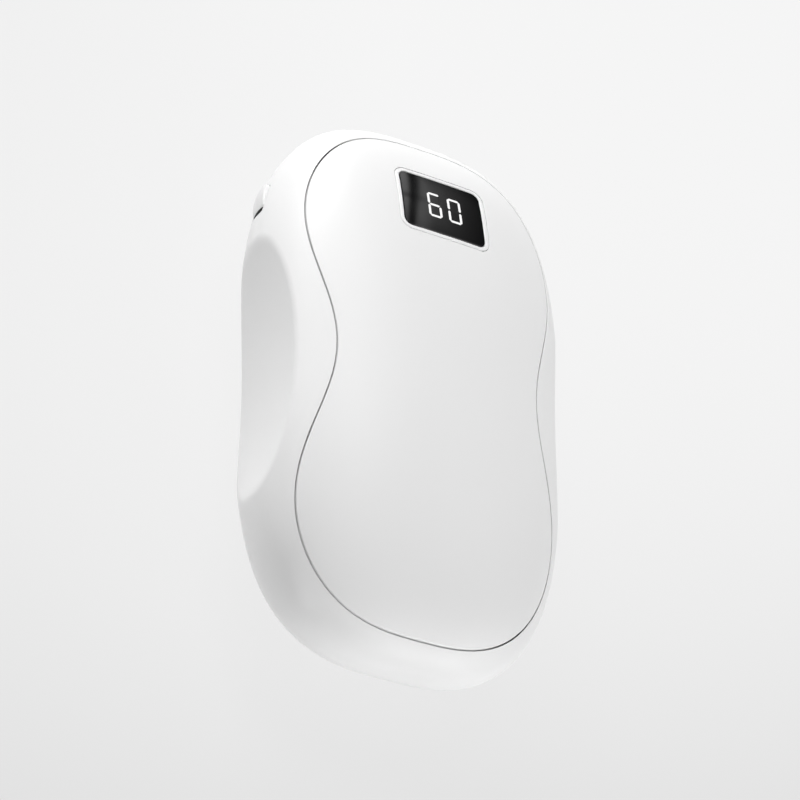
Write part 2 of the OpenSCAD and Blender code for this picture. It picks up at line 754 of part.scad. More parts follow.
module board_resistors() {
    color("black") placed() {
        for (i = [0 : 2]) on_board([window_x - module_w / 2 - 3.5 - resistor_pitch * i, back_row], resistor);
        for (i = [0 : 2]) on_board([half_w - 16 + resistor_pitch * i, front_row], resistor);
    }
}

// Socket
module usb_shell() {
    color("silver") placed() difference() {
        usb_prism(0, usb_front - usb_l, usb_front);
        usb_prism(-usb_t, usb_front - usb_l + usb_t, usb_front + 1);
    }
}
tongue_w = usb_w - 2.24;
tongue_t = 0.7;
tongue_l = usb_l - 1.6;
tongue_root_l = 1.9;
tongue_root_h = usb_h - 2 * usb_t - 0.46;
tongue_back = usb_front - usb_l + usb_t + mount_gap;
contact_pitch = 0.5;
contact_w = 0.25;
contact_t = 0.08;
contact_l = tongue_l - tongue_root_l - 0.55;
module usb_tongue() {
    color("black") placed() {
        translate([-tongue_w / 2, tongue_back, -tongue_t / 2]) cube([tongue_w, tongue_l, tongue_t]);
        translate([-tongue_w / 2, tongue_back, -tongue_root_h / 2])
            cube([tongue_w, tongue_root_l, tongue_root_h]);
    }
}
module usb_contacts() {
    color("gold") placed()
        for (i = [-5.5 : 5.5], side = [0, 1]) mirror([0, 0, side])
            translate([i * contact_pitch - contact_w / 2, tongue_back + tongue_root_l + 0.2, tongue_t / 2])
                cube([contact_w, contact_l, contact_t]);
}

// Power button: cap, retaining flange and stem in one piece
flange_x = -button_wall - 0.2;
flange_thick = 0.7;
flange_low = 0.6 - button_w / 2;
flange_h = button_w - 0.9;
plunger_tip = flange_x - flange_thick - 0.3;
switch_face = plunger_tip - 0.8;
switch_w = 3.4;
switch_low = -button_drop - 1.5;
module power_button() {
    color(white) placed() at_button() {
        intersection() {
            button_prism(0, flange_x + 1.2, button_proud);
            translate([button_proud - crown_r, -crown_shift, crown_rise]) sphere(crown_r, $fn = 64);
        }
        translate([flange_x - 0.1, 0.4 - button_l / 2, flange_low]) cube([1.5, button_l - 0.8, flange_h]);
        translate([flange_x - flange_thick, -flange_half, flange_low])
            cube([flange_thick, 2 * flange_half, flange_h]);
        translate([plunger_tip, 0, 0]) rotate([0, 90, 0])
            cylinder(flange_x - plunger_tip - 0.1, r = 1, $fn = 32);
    }
}
plunger_bore = 1.6;
module switch_plunger() {
    color("dimgray") placed() at_button()
        translate([switch_face - plunger_bore + button_travel + 0.15, 0, 0]) rotate([0, 90, 0])
            cylinder(plunger_tip - switch_face + plunger_bore - button_travel - 0.15, r = plunger_r,
                     $fn = 32);
}
module switch_body() {
    color("black") placed() at_button() difference() {
        block([switch_face - switch_w, -2.9, switch_low + button_drop],
              [switch_face, 2.9, board_bottom - mount_gap + button_drop]);
        translate([switch_face - plunger_bore, 0, 0]) rotate([0, 90, 0])
            cylinder(plunger_bore + 1, r = plunger_r + plunger_gap, $fn = 32);
    }
}
switch_pin_places = [[switch_face - 0.9, -2], [switch_face - 0.9, 2],
                     [switch_face - switch_w + 0.7, -2], [switch_face - switch_w + 0.7, 2]];
module switch_pins() {
    color("silver") placed() at_button()
        for (q = switch_pin_places)
            translate([q[0], q[1], board_bottom + button_drop - mount_gap])
                cylinder(board_t + 0.6, r = switch_pin_r, $fn = 16);
}

// Battery with its terminal end towards the display
cell_low = battery_y - battery_l / 2;
cell_high = battery_y + battery_l / 2;
pouch_high = cell_high - terminal_l;
module battery_cell() {
    r = 2;
    color("lightsteelblue") placed() {
        translate([0, pouch_high, 0]) rotate([90, 0, 0]) linear_extrude(pouch_high - cell_low)
            round_rect(battery_w, battery_t, r);
        block([-battery_w / 2 + 1.5, pouch_high - 0.5, -battery_t / 2 + 0.6],
              [battery_w / 2 - 1.5, cell_high, -battery_t / 2 + 1.0]);
    }
}
tab_x = 8;
tab_w = 4;
tab_t = 0.2;
tab_z = battery_t / 2 - 3.4;
protection_w = battery_w - 10;
module battery_tabs() {
    color("silver") placed()
        for (x = [-1, 1])
            block([x * tab_x - tab_w / 2, pouch_high + mount_gap, tab_z],
                  [x * tab_x + tab_w / 2, pouch_high + 1.6, tab_z + tab_t]);
}
module protection_board() {
    color("darkgreen") placed()
        block([-protection_w / 2, pouch_high + 0.4, tab_z - board_t],
              [protection_w / 2, cell_high - 0.2, tab_z - mount_gap]);
}
tape_w = battery_w - 14;
module battery_tape() {
    color("lightgray") placed()
        block([-tape_w / 2, cell_low + 6, -battery_t / 2 - tray_gap + mount_gap],
              [tape_w / 2, cell_high - 10, -battery_t / 2 - mount_gap]);
}

// Tray: floor, walls, and four arms that end in ears on the lugs
tray_floor = -battery_t / 2 - tray_gap;
tray_side = battery_w / 2 + tray_gap;
side_low = cell_low + 13.5;
side_high = cell_high - 1.5;
ear_z = lug_top + mount_gap;
arm_w = 4.4;
module tray_arm(p, y) {
    for (m = [0, 1]) mirror([m, 0, 0]) {
        block([p[0] - arm_w / 2, min(y, p[1]), ear_z], [p[0] + arm_w / 2, max(y, p[1]), ear_z + ear_t]);
        translate([p[0], p[1], ear_z]) cylinder(ear_t, r = lug_r, $fn = 32);
    }
}
module battery_tray() {
    end_x = upper_lug[0] + arm_w / 2;
    top_y = cell_high + tray_gap;
    low_y = cell_low - tray_gap;
    color("gainsboro") placed() difference() {
        union() {
            block([-tray_side - tray_t, side_low, tray_floor - tray_t],
                  [tray_side + tray_t, side_high, tray_floor]);
            block([-end_x, low_y - tray_t, tray_floor - tray_t], [end_x, top_y + tray_t, tray_floor]);
            for (m = [0, 1]) mirror([m, 0, 0])
                block([tray_side, side_low, tray_floor - tray_t],
                      [tray_side + tray_t, side_high, battery_t / 2 - 1]);
            block([-end_x, top_y, tray_floor - tray_t], [end_x, top_y + tray_t, ear_z + ear_t]);
            block([-end_x, low_y - tray_t, tray_floor - tray_t], [end_x, low_y, ear_z + ear_t]);
            tray_arm(upper_lug, top_y + tray_t / 2);
            tray_arm(lower_lug, low_y - tray_t / 2);
            at_lugs(upper_lug) translate([0, 0, ear_z])
                cylinder(board_bottom - mount_gap - ear_z, r = lug_r - 0.2, $fn = 32);
        }
        for (p = [upper_lug, lower_lug]) at_lugs(p)
            translate([0, 0, -half_t]) cylinder(body_t, r = screw_r + hole_gap, $fn = 24);
    }
}

// Pan head screw whose head sits on some height and whose thread reaches into a lug
module screw(seat) {
    translate([0, 0, seat + mount_gap]) difference() {
        intersection() {
            cylinder(head_h, r = head_r, $fn = 32);
            translate([0, 0, head_h - 3]) sphere(3, $fn = 48);
        }
        for (a = [0, 90]) rotate([0, 0, a]) translate([-head_r * 0.6, -0.2, head_h - 0.5])
            cube([head_r * 1.2, 0.4, 1]);
    }
    low = lug_top - screw_bite;
    translate([0, 0, low]) cylinder(seat + 2 * mount_gap - low, r = screw_r - 0.05, $fn = 24);
}
module board_screws() {
    color("silver") placed() at_lugs(upper_lug) screw(board_top);
}
module tray_screws() {
    color("silver") placed() at_lugs(lower_lug) screw(ear_z + ear_t);
}

// Heaters: an aluminium spreader behind each cover, a film behind it and a soft pad behind that
heater_c = [0, battery_y];
module front_heat_spreader() {
    color("silver") placed()
        domed_plate(heater_c, heater_w, heater_l, 5, spreader_d, spreader_d + spreader_t);
}
module front_heater_film() {
    color("orange") placed() domed_plate(heater_c, heater_w - 1, heater_l - 1, 5, film_d, film_d + film_t);
}
module front_insulation_pad() {
    color("dimgray") placed()
        domed_plate(heater_c, heater_w - 3, heater_l - 6, 5, pad_d + pad_gap, 0, battery_t / 2 + pad_gap);
}
module rear_heat_spreader() {
    color("silver") placed() mirror([0, 0, 1])
        domed_plate(heater_c, heater_w, heater_l, 5, spreader_d, spreader_d + spreader_t);
}
module rear_heater_film() {
    color("orange") placed() mirror([0, 0, 1])
        domed_plate(heater_c, heater_w - 1, heater_l - 1, 5, film_d, film_d + film_t);
}
module rear_insulation_pad() {
    color("dimgray") placed() mirror([0, 0, 1])
        domed_plate(heater_c, heater_w - 3, heater_l - 6, 5, pad_d + pad_gap, 0,
                    tray_t - tray_floor + pad_gap);
}

// Leads
plug_x = 5.7 - upper_lug[0];
plug_w = 5.2;
plug_t = 2.8;
plug_z = -1;
plug_low = board_low - 0.4;
plug_high = plug_low + 3.4;
socket_w = 6;
socket_l = 4.2;
module battery_plug() {
    color("ivory") placed()
        block([plug_x - plug_w / 2, plug_low, plug_z - plug_t / 2],
              [plug_x + plug_w / 2, plug_high, plug_z + plug_t / 2]);
}
module battery_socket() {
    color("ivory") placed()
        block([plug_x - socket_w / 2, plug_high + mount_gap, plug_z - plug_t / 2 - 0.3],
              [plug_x + socket_w / 2, plug_high + socket_l, board_bottom - mount_gap]);
}
pad_z = tab_z + lead_r;
module battery_lead(x, px) {
    over = max(pad_z + 0.2, ear_z + ear_t + lead_r + 0.3);
    ends = [[x, cell_high - 1.6, pad_z], [x, cell_high + 0.6, over], [(x + px) / 2, cell_high + 2.8, 0.8],
            [px, plug_low - 1.6, plug_z], [px, plug_low - 4 * mount_gap, plug_z]];
    lead(smooth(ends), lead_r);
}
module battery_red_lead() {
    color("red") placed() battery_lead(2, plug_x + 1.1);
}
module battery_black_lead() {
    color("black") placed() battery_lead(-9, plug_x - 1.1);
}
heater_end = battery_y + heater_l / 2;
heater_lead_x = upper_lug[0] - 4.3;
heater_lead_pitch = 2;
module heater_leads(side) {
    z_film = face_z([heater_lead_x, heater_end - 0.4], film_d + film_t) - lead_r - 4 * mount_gap;
    for (x = [heater_lead_x - heater_lead_pitch, heater_lead_x]) {
        if (side > 0)
            lead(smooth([[x, heater_end - 3, z_film], [x, heater_end - 0.5, z_film],
                         [x + 0.6, heater_end + 2.5, z_film - 3], [x + 1, board_low + 1.2, board_top + 2],
                         [x + 1, board_low + 1.2, board_top + 3 * mount_gap]]), lead_r, 6);
        else
            lead(smooth([[x, heater_end - 3, -z_film], [x, heater_end - 0.5, -z_film],
                         [x + 0.6, heater_end + 3, -z_film + 3], [x + 1, board_low + 2.5, -2.6],
                         [x + 1, board_low + 2.5, board_bottom - 3 * mount_gap]]), lead_r, 6);
    }
}
module front_heater_leads() {
    color("red") placed() heater_leads(1);
}
module rear_heater_leads() {
    color("red") placed() heater_leads(-1);
}

// Thermistor behind the front film, with two fine leads to the board
bead_r = 0.8;
bead = [4.4 - upper_lug[0], heater_end - 1.5];
bead_z = face_z(bead, film_d + film_t) - bead_r - 2 * mount_gap;
fine_lead_r = 0.25;
module thermistor() {
    color("black") placed() translate(lift(bead, bead_z)) sphere(bead_r, $fn = 32);
}
module thermistor_leads() {
    color("tan") placed()
        for (dx = [-0.4, 0.4])
            lead(smooth([[bead[0] + dx, bead[1] + bead_r + mount_gap, bead_z],
                         [bead[0] + dx, bead[1] + 2.6, bead_z - 0.6],
                         [bead[0] + 3 * dx, bead[1] + 5, bead_z - 4],
                         [bead[0] + 3 * dx, board_low + 1.2, board_top + 1.5],
                         [bead[0] + 3 * dx, board_low + 1.2, board_top + 3 * mount_gap]], 4),
                 fine_lead_r, 6);
}

housing_ring();
front_cover();
rear_cover();
display_bezel();
display_window();
display_gasket();
lit_segments();
unlit_segments();
display_module();
display_pins();
main_board();
controller_chip();
charger_chip();
power_inductor();
board_capacitors();
board_resistors();
usb_shell();
usb_tongue();
usb_contacts();
power_button();
switch_plunger();
switch_body();
switch_pins();
battery_cell();
battery_tabs();
protection_board();
battery_red_lead();
battery_black_lead();
battery_plug();
battery_socket();
battery_tray();
battery_tape();
board_screws();
tray_screws();
front_heat_spreader();
rear_heat_spreader();
front_heater_film();
rear_heater_film();
front_insulation_pad();
rear_insulation_pad();
front_heater_leads();
rear_heater_leads();
thermistor();
thermistor_leads();
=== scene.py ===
import json
import math

import bmesh
import bpy
import numpy as np
from mathutils import Matrix, Vector

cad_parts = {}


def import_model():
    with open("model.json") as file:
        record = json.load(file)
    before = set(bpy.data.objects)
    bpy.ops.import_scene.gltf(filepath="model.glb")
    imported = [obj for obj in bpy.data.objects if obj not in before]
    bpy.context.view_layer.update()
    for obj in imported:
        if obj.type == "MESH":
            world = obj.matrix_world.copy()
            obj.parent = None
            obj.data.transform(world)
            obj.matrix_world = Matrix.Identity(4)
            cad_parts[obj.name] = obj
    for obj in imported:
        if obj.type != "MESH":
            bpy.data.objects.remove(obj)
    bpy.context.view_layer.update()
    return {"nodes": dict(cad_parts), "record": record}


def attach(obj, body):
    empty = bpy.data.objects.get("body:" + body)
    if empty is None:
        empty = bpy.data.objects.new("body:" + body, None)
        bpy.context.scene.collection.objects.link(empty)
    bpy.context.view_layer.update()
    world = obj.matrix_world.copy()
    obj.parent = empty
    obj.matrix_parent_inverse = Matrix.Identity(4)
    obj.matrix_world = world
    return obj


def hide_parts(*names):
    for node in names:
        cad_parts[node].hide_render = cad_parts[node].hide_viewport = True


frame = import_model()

scene = bpy.context.scene
MM = 0.001

# Body
half_w, half_l, half_t = 29.0, 50.0, 15.0
outline_power, dome_power = 3.05, 2.4
wall, rest_cut = 2.2, 0.5
mid_z = half_t - rest_cut
# Finger scoops
scoop_depth, scoop_r, scoop_y, scoop_fall, scoop_blend = 3.9, 100.0, -2.25, 0.5, 0.6
crease_z = 0.61 * half_t
# Covers
cover_t, seam_gap, rim_side, rim_end = 2.0, 0.25, 2.25, 3.75
cover_power, waist_draw, waist_span, waist_y = 2.9, 0.289, 19.5, -0.25
cover_y, lobe_taper, rim_h = -0.5, 0.02, 2.0
ledge_w, ledge_t, seat_gap = 1.8, 1.4, 0.1
# Snap clips
clip_ways = (40, 78, 102, 140, 220, 270, 320)
clip_w, clip_t, hook_reach, hook_h, clip_gap = 3.0, 1.1, 0.5, 0.9, 0.15
# Display
window_w, window_l, window_r, window_t = 15.6, 11.7, 1.3, 1.4
window_c = np.array([0.9, 31.7])
bezel_w, fit_gap, flange_w, flange_t = 0.8, 0.1, 1.0, 0.8
digit_h, digit_w, stroke, digit_pitch, digit_x = 5.3, 2.6, 0.45, 3.9, 0.25
# Button, with a wider gap at its lower end
button_l, button_w, button_r, button_proud = 4.9, 4.6, 0.6, 0.75
button_y, button_drop, button_gap, button_slit = 31.8, 1.7, 0.2, 0.8
crown_r, crown_shift, crown_rise = 10.5, 1.6, 1.2
flange_over, flange_thick, flange_play = 0.4, 0.7, 0.2
# Screw lugs: how far they stand in from the ends and from the outline, and over the rear rim
upper_in, upper_aside, lower_in, lower_aside = 11.5, 10.4, 9.0, 8.4
lug_r, lug_h, lug_clear = 2.5, 3.6, 0.6
screw_r, screw_bite, head_r, head_h = 0.9, 3.0, 1.8, 1.1
# Board, tray ears and the small gap between parts that touch
board_t, ear_t, mount_gap = 1.0, 1.6, 0.05
# Socket, tongue and contacts
usb_w, usb_h, usb_l, usb_t, usb_gap = 8.94, 3.26, 7.35, 0.3, 0.25
usb_r, usb_front = usb_h / 2 - 0.15, half_l - 0.7
tongue_l, tongue_root_l, tongue_t = usb_l - 1.6, 1.9, 0.7
contact_l, contact_w, contact_t, contact_pitch = tongue_l - tongue_root_l - 0.55, 0.25, 0.08, 0.5
# Small rounding of the moulded edges, and of the edges round the openings
edge_r, button_hole_r, socket_hole_r, window_hole_r = 0.13, 0.16, 0.25, 0.1
# Turn, in radians, over which the slope of an outline is measured
turn_step = 0.009


def polar(a, hx, hy, k):
    """Radius of a superellipse in one direction."""
    return (abs(np.cos(a) / hx) ** k + abs(np.sin(a) / hy) ** k) ** (-1 / k)


def face_z(x, y, inset=0.0):
    """Height of the domed face, or of a surface set in by some distance."""
    u = abs(x / (half_w - inset)) ** outline_power + abs(y / (half_l - inset)) ** outline_power
    return (half_t - inset) * np.maximum(0, 1 - u ** (dome_power / outline_power)) ** (1 / dome_power)


def seam(a):
    """Hourglass seam of a cover, as points."""
    r = polar(a, half_w - rim_side, half_l - rim_end, cover_power)
    y = r * np.sin(a)
    waist = 1 - waist_draw * np.exp(-(((y - waist_y) / waist_span) ** 2))
    return np.stack([r * np.cos(a) * waist * (1 - lobe_taper * y / half_l), y + cover_y], -1)


def seam_normal(a):
    t = seam(a + turn_step) - seam(a - turn_step)
    t /= np.linalg.norm(t, axis=-1, keepdims=True)
    return np.stack([t[..., 1], -t[..., 0]], -1)


def seam_off(a, d):
    return seam(a) + d * seam_normal(a)


def scoop_reach(a, z):
    """Distance from the middle to a finger scoop, in one direction and at one height."""
    cx = half_w - scoop_depth - scoop_fall * (z / half_t) ** 2 + scoop_r
    b = abs(np.cos(a)) * cx + np.sin(a) * scoop_y
    q = b * b - (cx * cx + scoop_y**2 - scoop_r**2)
    return np.where((q > 0) & (b > 0), b - np.sqrt(np.maximum(q, 0)), 2 * half_l)


def soft_min(a, b, k):
    h = np.maximum(k - abs(a - b), 0) / k
    return np.minimum(a, b) - h * h * k / 4


def side_reach(a, z):
    """Distance from the middle to the outer face at one height."""
    u = np.maximum(0, 1 - abs(z / half_t) ** dome_power) ** (1 / dome_power)
    return soft_min(u * polar(a, half_w, half_l, outline_power), scoop_reach(a, z), scoop_blend)


def side_point(a, z):
    r = side_reach(a, z)
    return np.stack([r * np.cos(a), r * np.sin(a), z + 0 * r], -1)


def out_of_side(a, z):
    """Level vectors that point straight out of the outer face."""
    bend = side_point(a + turn_step, z) - side_point(a - turn_step, z)
    out = np.stack([bend[..., 1], -bend[..., 0], 0 * bend[..., 0]], -1)
    return out / np.linalg.norm(out, axis=-1, keepdims=True)


def outline_x(y):
    return half_w * (1 - abs(y / half_l) ** outline_power) ** (1 / outline_power)


def side_field(p):
    """Below zero inside the housing, above zero outside, in millimetres."""
    return np.hypot(p[..., 0], p[..., 1]) - side_reach(np.arctan2(p[..., 1], p[..., 0]), p[..., 2])


def rear_top(x, y):
    """Height of the back, with its resting flat."""
    return soft_min(face_z(x, y), mid_z, 0.1)


# The button's frame: its origin on the outer face, button_x out of it and button_side towards
# the button's lower end
button_way = math.pi - math.atan2(button_y, outline_x(button_y))
button_p = side_point(button_way, -button_drop)
button_x = out_of_side(button_way, -button_drop)
button_side = np.array([-button_x[1], button_x[0], 0.0])
# Depth of the flange behind the face, which clears the wall where the housing curves away
button_under = float(face_z(*seam(button_way))) - rim_h - seat_gap - ledge_t
flange_half = button_l / 2 + button_slit + flange_over
lean = math.asin(flange_half / math.hypot(button_p[0], button_p[1]))
button_fall = max(float((button_p - side_point(button_way + turn, -button_drop)) @ button_x)
                  for turn in (-lean, lean))
button_deep = button_p - side_point(button_way, button_under)
button_wall = wall + math.hypot(button_deep[0], button_deep[1]) + button_fall


def arithmetic(operation, swapped=False):
    """An operator of Sock, with its values in the order in which they are written."""
    def apply(self, other):
        return self.tree.math(operation, *((other, self) if swapped else (self, other)))
    return apply


class Sock:
    """A node's output that takes part in Python expressions: each one adds its Math node."""

    def __init__(self, tree, socket):
        self.tree, self.socket = tree, socket

    def math(self, operation, *others):
        return self.tree.math(operation, self, *others)

    __add__ = __radd__ = arithmetic("ADD")
    __mul__ = __rmul__ = arithmetic("MULTIPLY")
    __sub__, __rsub__ = arithmetic("SUBTRACT"), arithmetic("SUBTRACT", True)
    __truediv__, __rtruediv__ = arithmetic("DIVIDE"), arithmetic("DIVIDE", True)
    __pow__ = arithmetic("POWER")

    def __abs__(self):
        return self.math("ABSOLUTE")


class Tree:
    """A shader or geometry tree whose nodes all come from one method."""

    def __init__(self, tree):
        self.tree = tree

    def node(self, kind, settings=None, inputs=None, out=0):
        """Adds a node, sets its settings first and then its sockets, and returns one output."""
        made = self.tree.nodes.new(kind)
        for name, value in (settings or {}).items():
            if name == "stops":
                ramp = made.color_ramp.elements
                while len(ramp) < len(value):
                    ramp.new(0.5)
                for stop, (at, shade) in zip(ramp, value):
                    stop.position, stop.color = at, (*shade, 1)
            else:
                setattr(made, name, value)
        for name, value in (inputs or {}).items():
            if isinstance(value, Sock):
                self.tree.links.new(value.socket, made.inputs[name])
            else:
                made.inputs[name].default_value = value
        return Sock(self, made.outputs[out]) if made.outputs else made

    def math(self, operation, *values):
        return self.node("ShaderNodeMath", {"operation": operation}, dict(enumerate(values)))

    def mix(self, factor, a, b):
        """Colour between a and b."""
        a, b = (v if isinstance(v, Sock) else (*v, 1) for v in (a, b))
        return self.node("ShaderNodeMix", {"data_type": "RGBA"}, {0: factor, 6: a, 7: b}, 2)

    def noise(self, place, scale, detail=2.0, roughness=0.5):
        return self.node("ShaderNodeTexNoise", {"normalize": True},
                         {"Vector": place, "Scale": scale, "Detail": detail, "Roughness": roughness})

    def cells(self, place, scale):
        """Distance from the middles of scattered cells."""
        return self.node("ShaderNodeTexVoronoi", {"feature": "F1"}, {"Vector": place, "Scale": scale})

    def step(self, value, low, high):
        """0 below low and 1 above high."""
        return self.node("ShaderNodeMapRange", {"interpolation_type": "SMOOTHSTEP"},
                         {"Value": value, "From Min": low, "From Max": high})

    def parts(self, vector):
        return [self.node("ShaderNodeSeparateXYZ", None, {0: vector}, i) for i in range(3)]

    def vector(self, x, y, z):
        return self.node("ShaderNodeCombineXYZ", None, {0: x, 1: y, 2: z})


def put(name, data):
    """Adds an object that shows some data to the scene."""
    made = bpy.data.objects.new(name, data)
    scene.collection.objects.link(made)
    return made


def emptied(made):
    """The tree of a new material or world, without nodes."""
    made.use_nodes = True
    made.node_tree.nodes.clear()
    return Tree(made.node_tree)


def grey(level):
    return (level, level, level)


def finish(name, shade, roughness, metallic=0.0, grain=(2500, 0.02), mottle=(180, 0.03),
           scuff=0.06, extra=None, glow=0.0):
    """A procedural material: mottled colour, uneven gloss and a fine grain in its surface. grain
    is the bump's scale per metre and its height in hundredths of a millimetre, and mottle is the
    scale of the colour's patches and how far they stray."""
    made = bpy.data.materials.new(name)
    t = emptied(made)
    place = t.node("ShaderNodeTexCoord", None, None, "Object")
    cloud = t.noise(place, mottle[0], 3.0)
    fine = t.noise(place, grain[0], 2.0, 0.6)
    dark = tuple(c * (1 - mottle[1]) for c in shade)
    light = tuple(min(1.0, c * (1 + mottle[1])) for c in shade)
    colour = t.mix(cloud, dark, light)
    height = fine
    rough = (cloud - 0.5) * scuff + (fine - 0.5) * (scuff / 2) + roughness
    if extra:
        colour, rough, height = extra(t, place, colour, rough, height)
    bump = t.node("ShaderNodeBump", None, {"Strength": 1.0, "Distance": grain[1] * 1e-5, "Height": height})
    sockets = {"Base Color": colour, "Roughness": rough, "Metallic": metallic, "IOR": 1.46, "Normal": bump}
    if glow:
        sockets["Emission Color"] = t.mix(cloud, grey(0.97), grey(1.0))
        sockets["Emission Strength"] = glow
    shader = t.node("ShaderNodeBsdfPrincipled", None, sockets)
    t.node("ShaderNodeOutputMaterial", None, {"Surface": shader})
    return made


def copper_tracks(t, place, colour, rough, height):
    """Lighter tracks and round pads under the green mask of a board."""
    x, y, _ = t.parts(place)
    wander = t.noise(place, 260, 1.0)
    lanes = abs((x * 900 + wander * 2.2).math("FRACT") - 0.5)
    across = abs((y * 700 + wander * 1.4).math("FRACT") - 0.5)
    side = t.step(t.noise(place, 120, 0.0), 0.48, 0.52)
    track = 1 - t.step(lanes * side + across * (1 - side), 0.1, 0.16)
    dots = t.cells(place, 420.0)
    pad = 1 - t.step(dots, 0.16, 0.2)
    ring = pad * t.step(dots, 0.06, 0.09)
    tone = t.mix(track * 0.75, colour, (0.09, 0.36, 0.17))
    return t.mix(ring, tone, (0.78, 0.66, 0.36)), rough - track * 0.05, height + track * 3


def foil_creases(t, place, colour, rough, height):
    """Soft creases of a pouch cell's foil."""
    folds = t.noise(place, 130, 4.0, 0.65)
    return t.mix(t.step(folds, 0.45, 0.62) * 0.35, colour, (0.86, 0.88, 0.9)), rough, height + folds * 30


def heating_track(t, place, colour, rough, height):
    """The etched track that winds to and fro through a heater film."""
    x, y, _ = t.parts(place)
    lanes = abs((y * 420).math("FRACT") - 0.5)
    track = t.step(lanes, 0.22, 0.28) * (1 - t.step(abs(x), 0.0115, 0.0121))
    return t.mix(track * 0.8, colour, (0.32, 0.12, 0.05)), rough + track * 0.1, height + track * 2


def rolled_lines(t, place, colour, rough, height):
    """Fine straight lines of rolled or drawn metal."""
    x, y, z = t.parts(place)
    lines = t.noise(t.vector(x, y * 0.03, z), 6000)
    return t.mix(lines * 0.25, colour, (0.5, 0.5, 0.51)), rough + (lines - 0.5) * 0.15, height + lines


def foam_cells_and_painted_shade(t, place, colour, rough, height):
    """Open cells of soft foam, whose pores are darkened with painted shade."""
    cells = t.cells(place, 1900.0)
    # Painted shade: near-black in the middle of each cell, where the pore lies in shade
    return t.mix(t.step(cells, 0.1, 0.5), grey(0.02), colour), rough, height + cells * 6


def satin_grain_and_slit_shade(t, place, colour, rough, height):
    """Spark-eroded grain of the shells, with a little broad unevenness in the gloss. The walls
    inside the finger slit and the button's edge above it are painted black as painted shade."""
    coarse = t.noise(place, 1300, 2.0, 0.55)
    broad = t.noise(place, 22, 1.0)
    x, y, z = t.parts(place)
    below, out = (x * (way[0] / MM) + y * (way[1] / MM) - float(button_p @ way)
                  for way in (button_side, button_x))
    aside = abs(z / MM - mid_z - button_p[2])
    edge, spare, highest = 0.16, 0.02, 1.0
    first, last = button_l / 2 - edge, button_l / 2 + button_slit + button_gap + spare
    # Painted shade: near-black over the walls inside the slit and the button's end wall above it, where the
    # gap lies in shade
    slit = ((below.math("GREATER_THAN", first) * below.math("LESS_THAN", last))
            * (aside.math("LESS_THAN", button_w / 2 + button_gap + spare) * out.math("LESS_THAN", highest)))
    return t.mix(slit, colour, grey(0.01)), rough + (broad - 0.5) * 0.05, height + coarse * 0.8


def smoked_layer(t, place, colour, rough, height):
    """Faint wipe marks in the gloss of the smoked window."""
    x, y, z = t.parts(place)
    wiped = t.noise(t.vector(x, y * 0.12, z), 900, 3.0)
    return colour, rough + (wiped - 0.5) * 0.04, height * 0.2


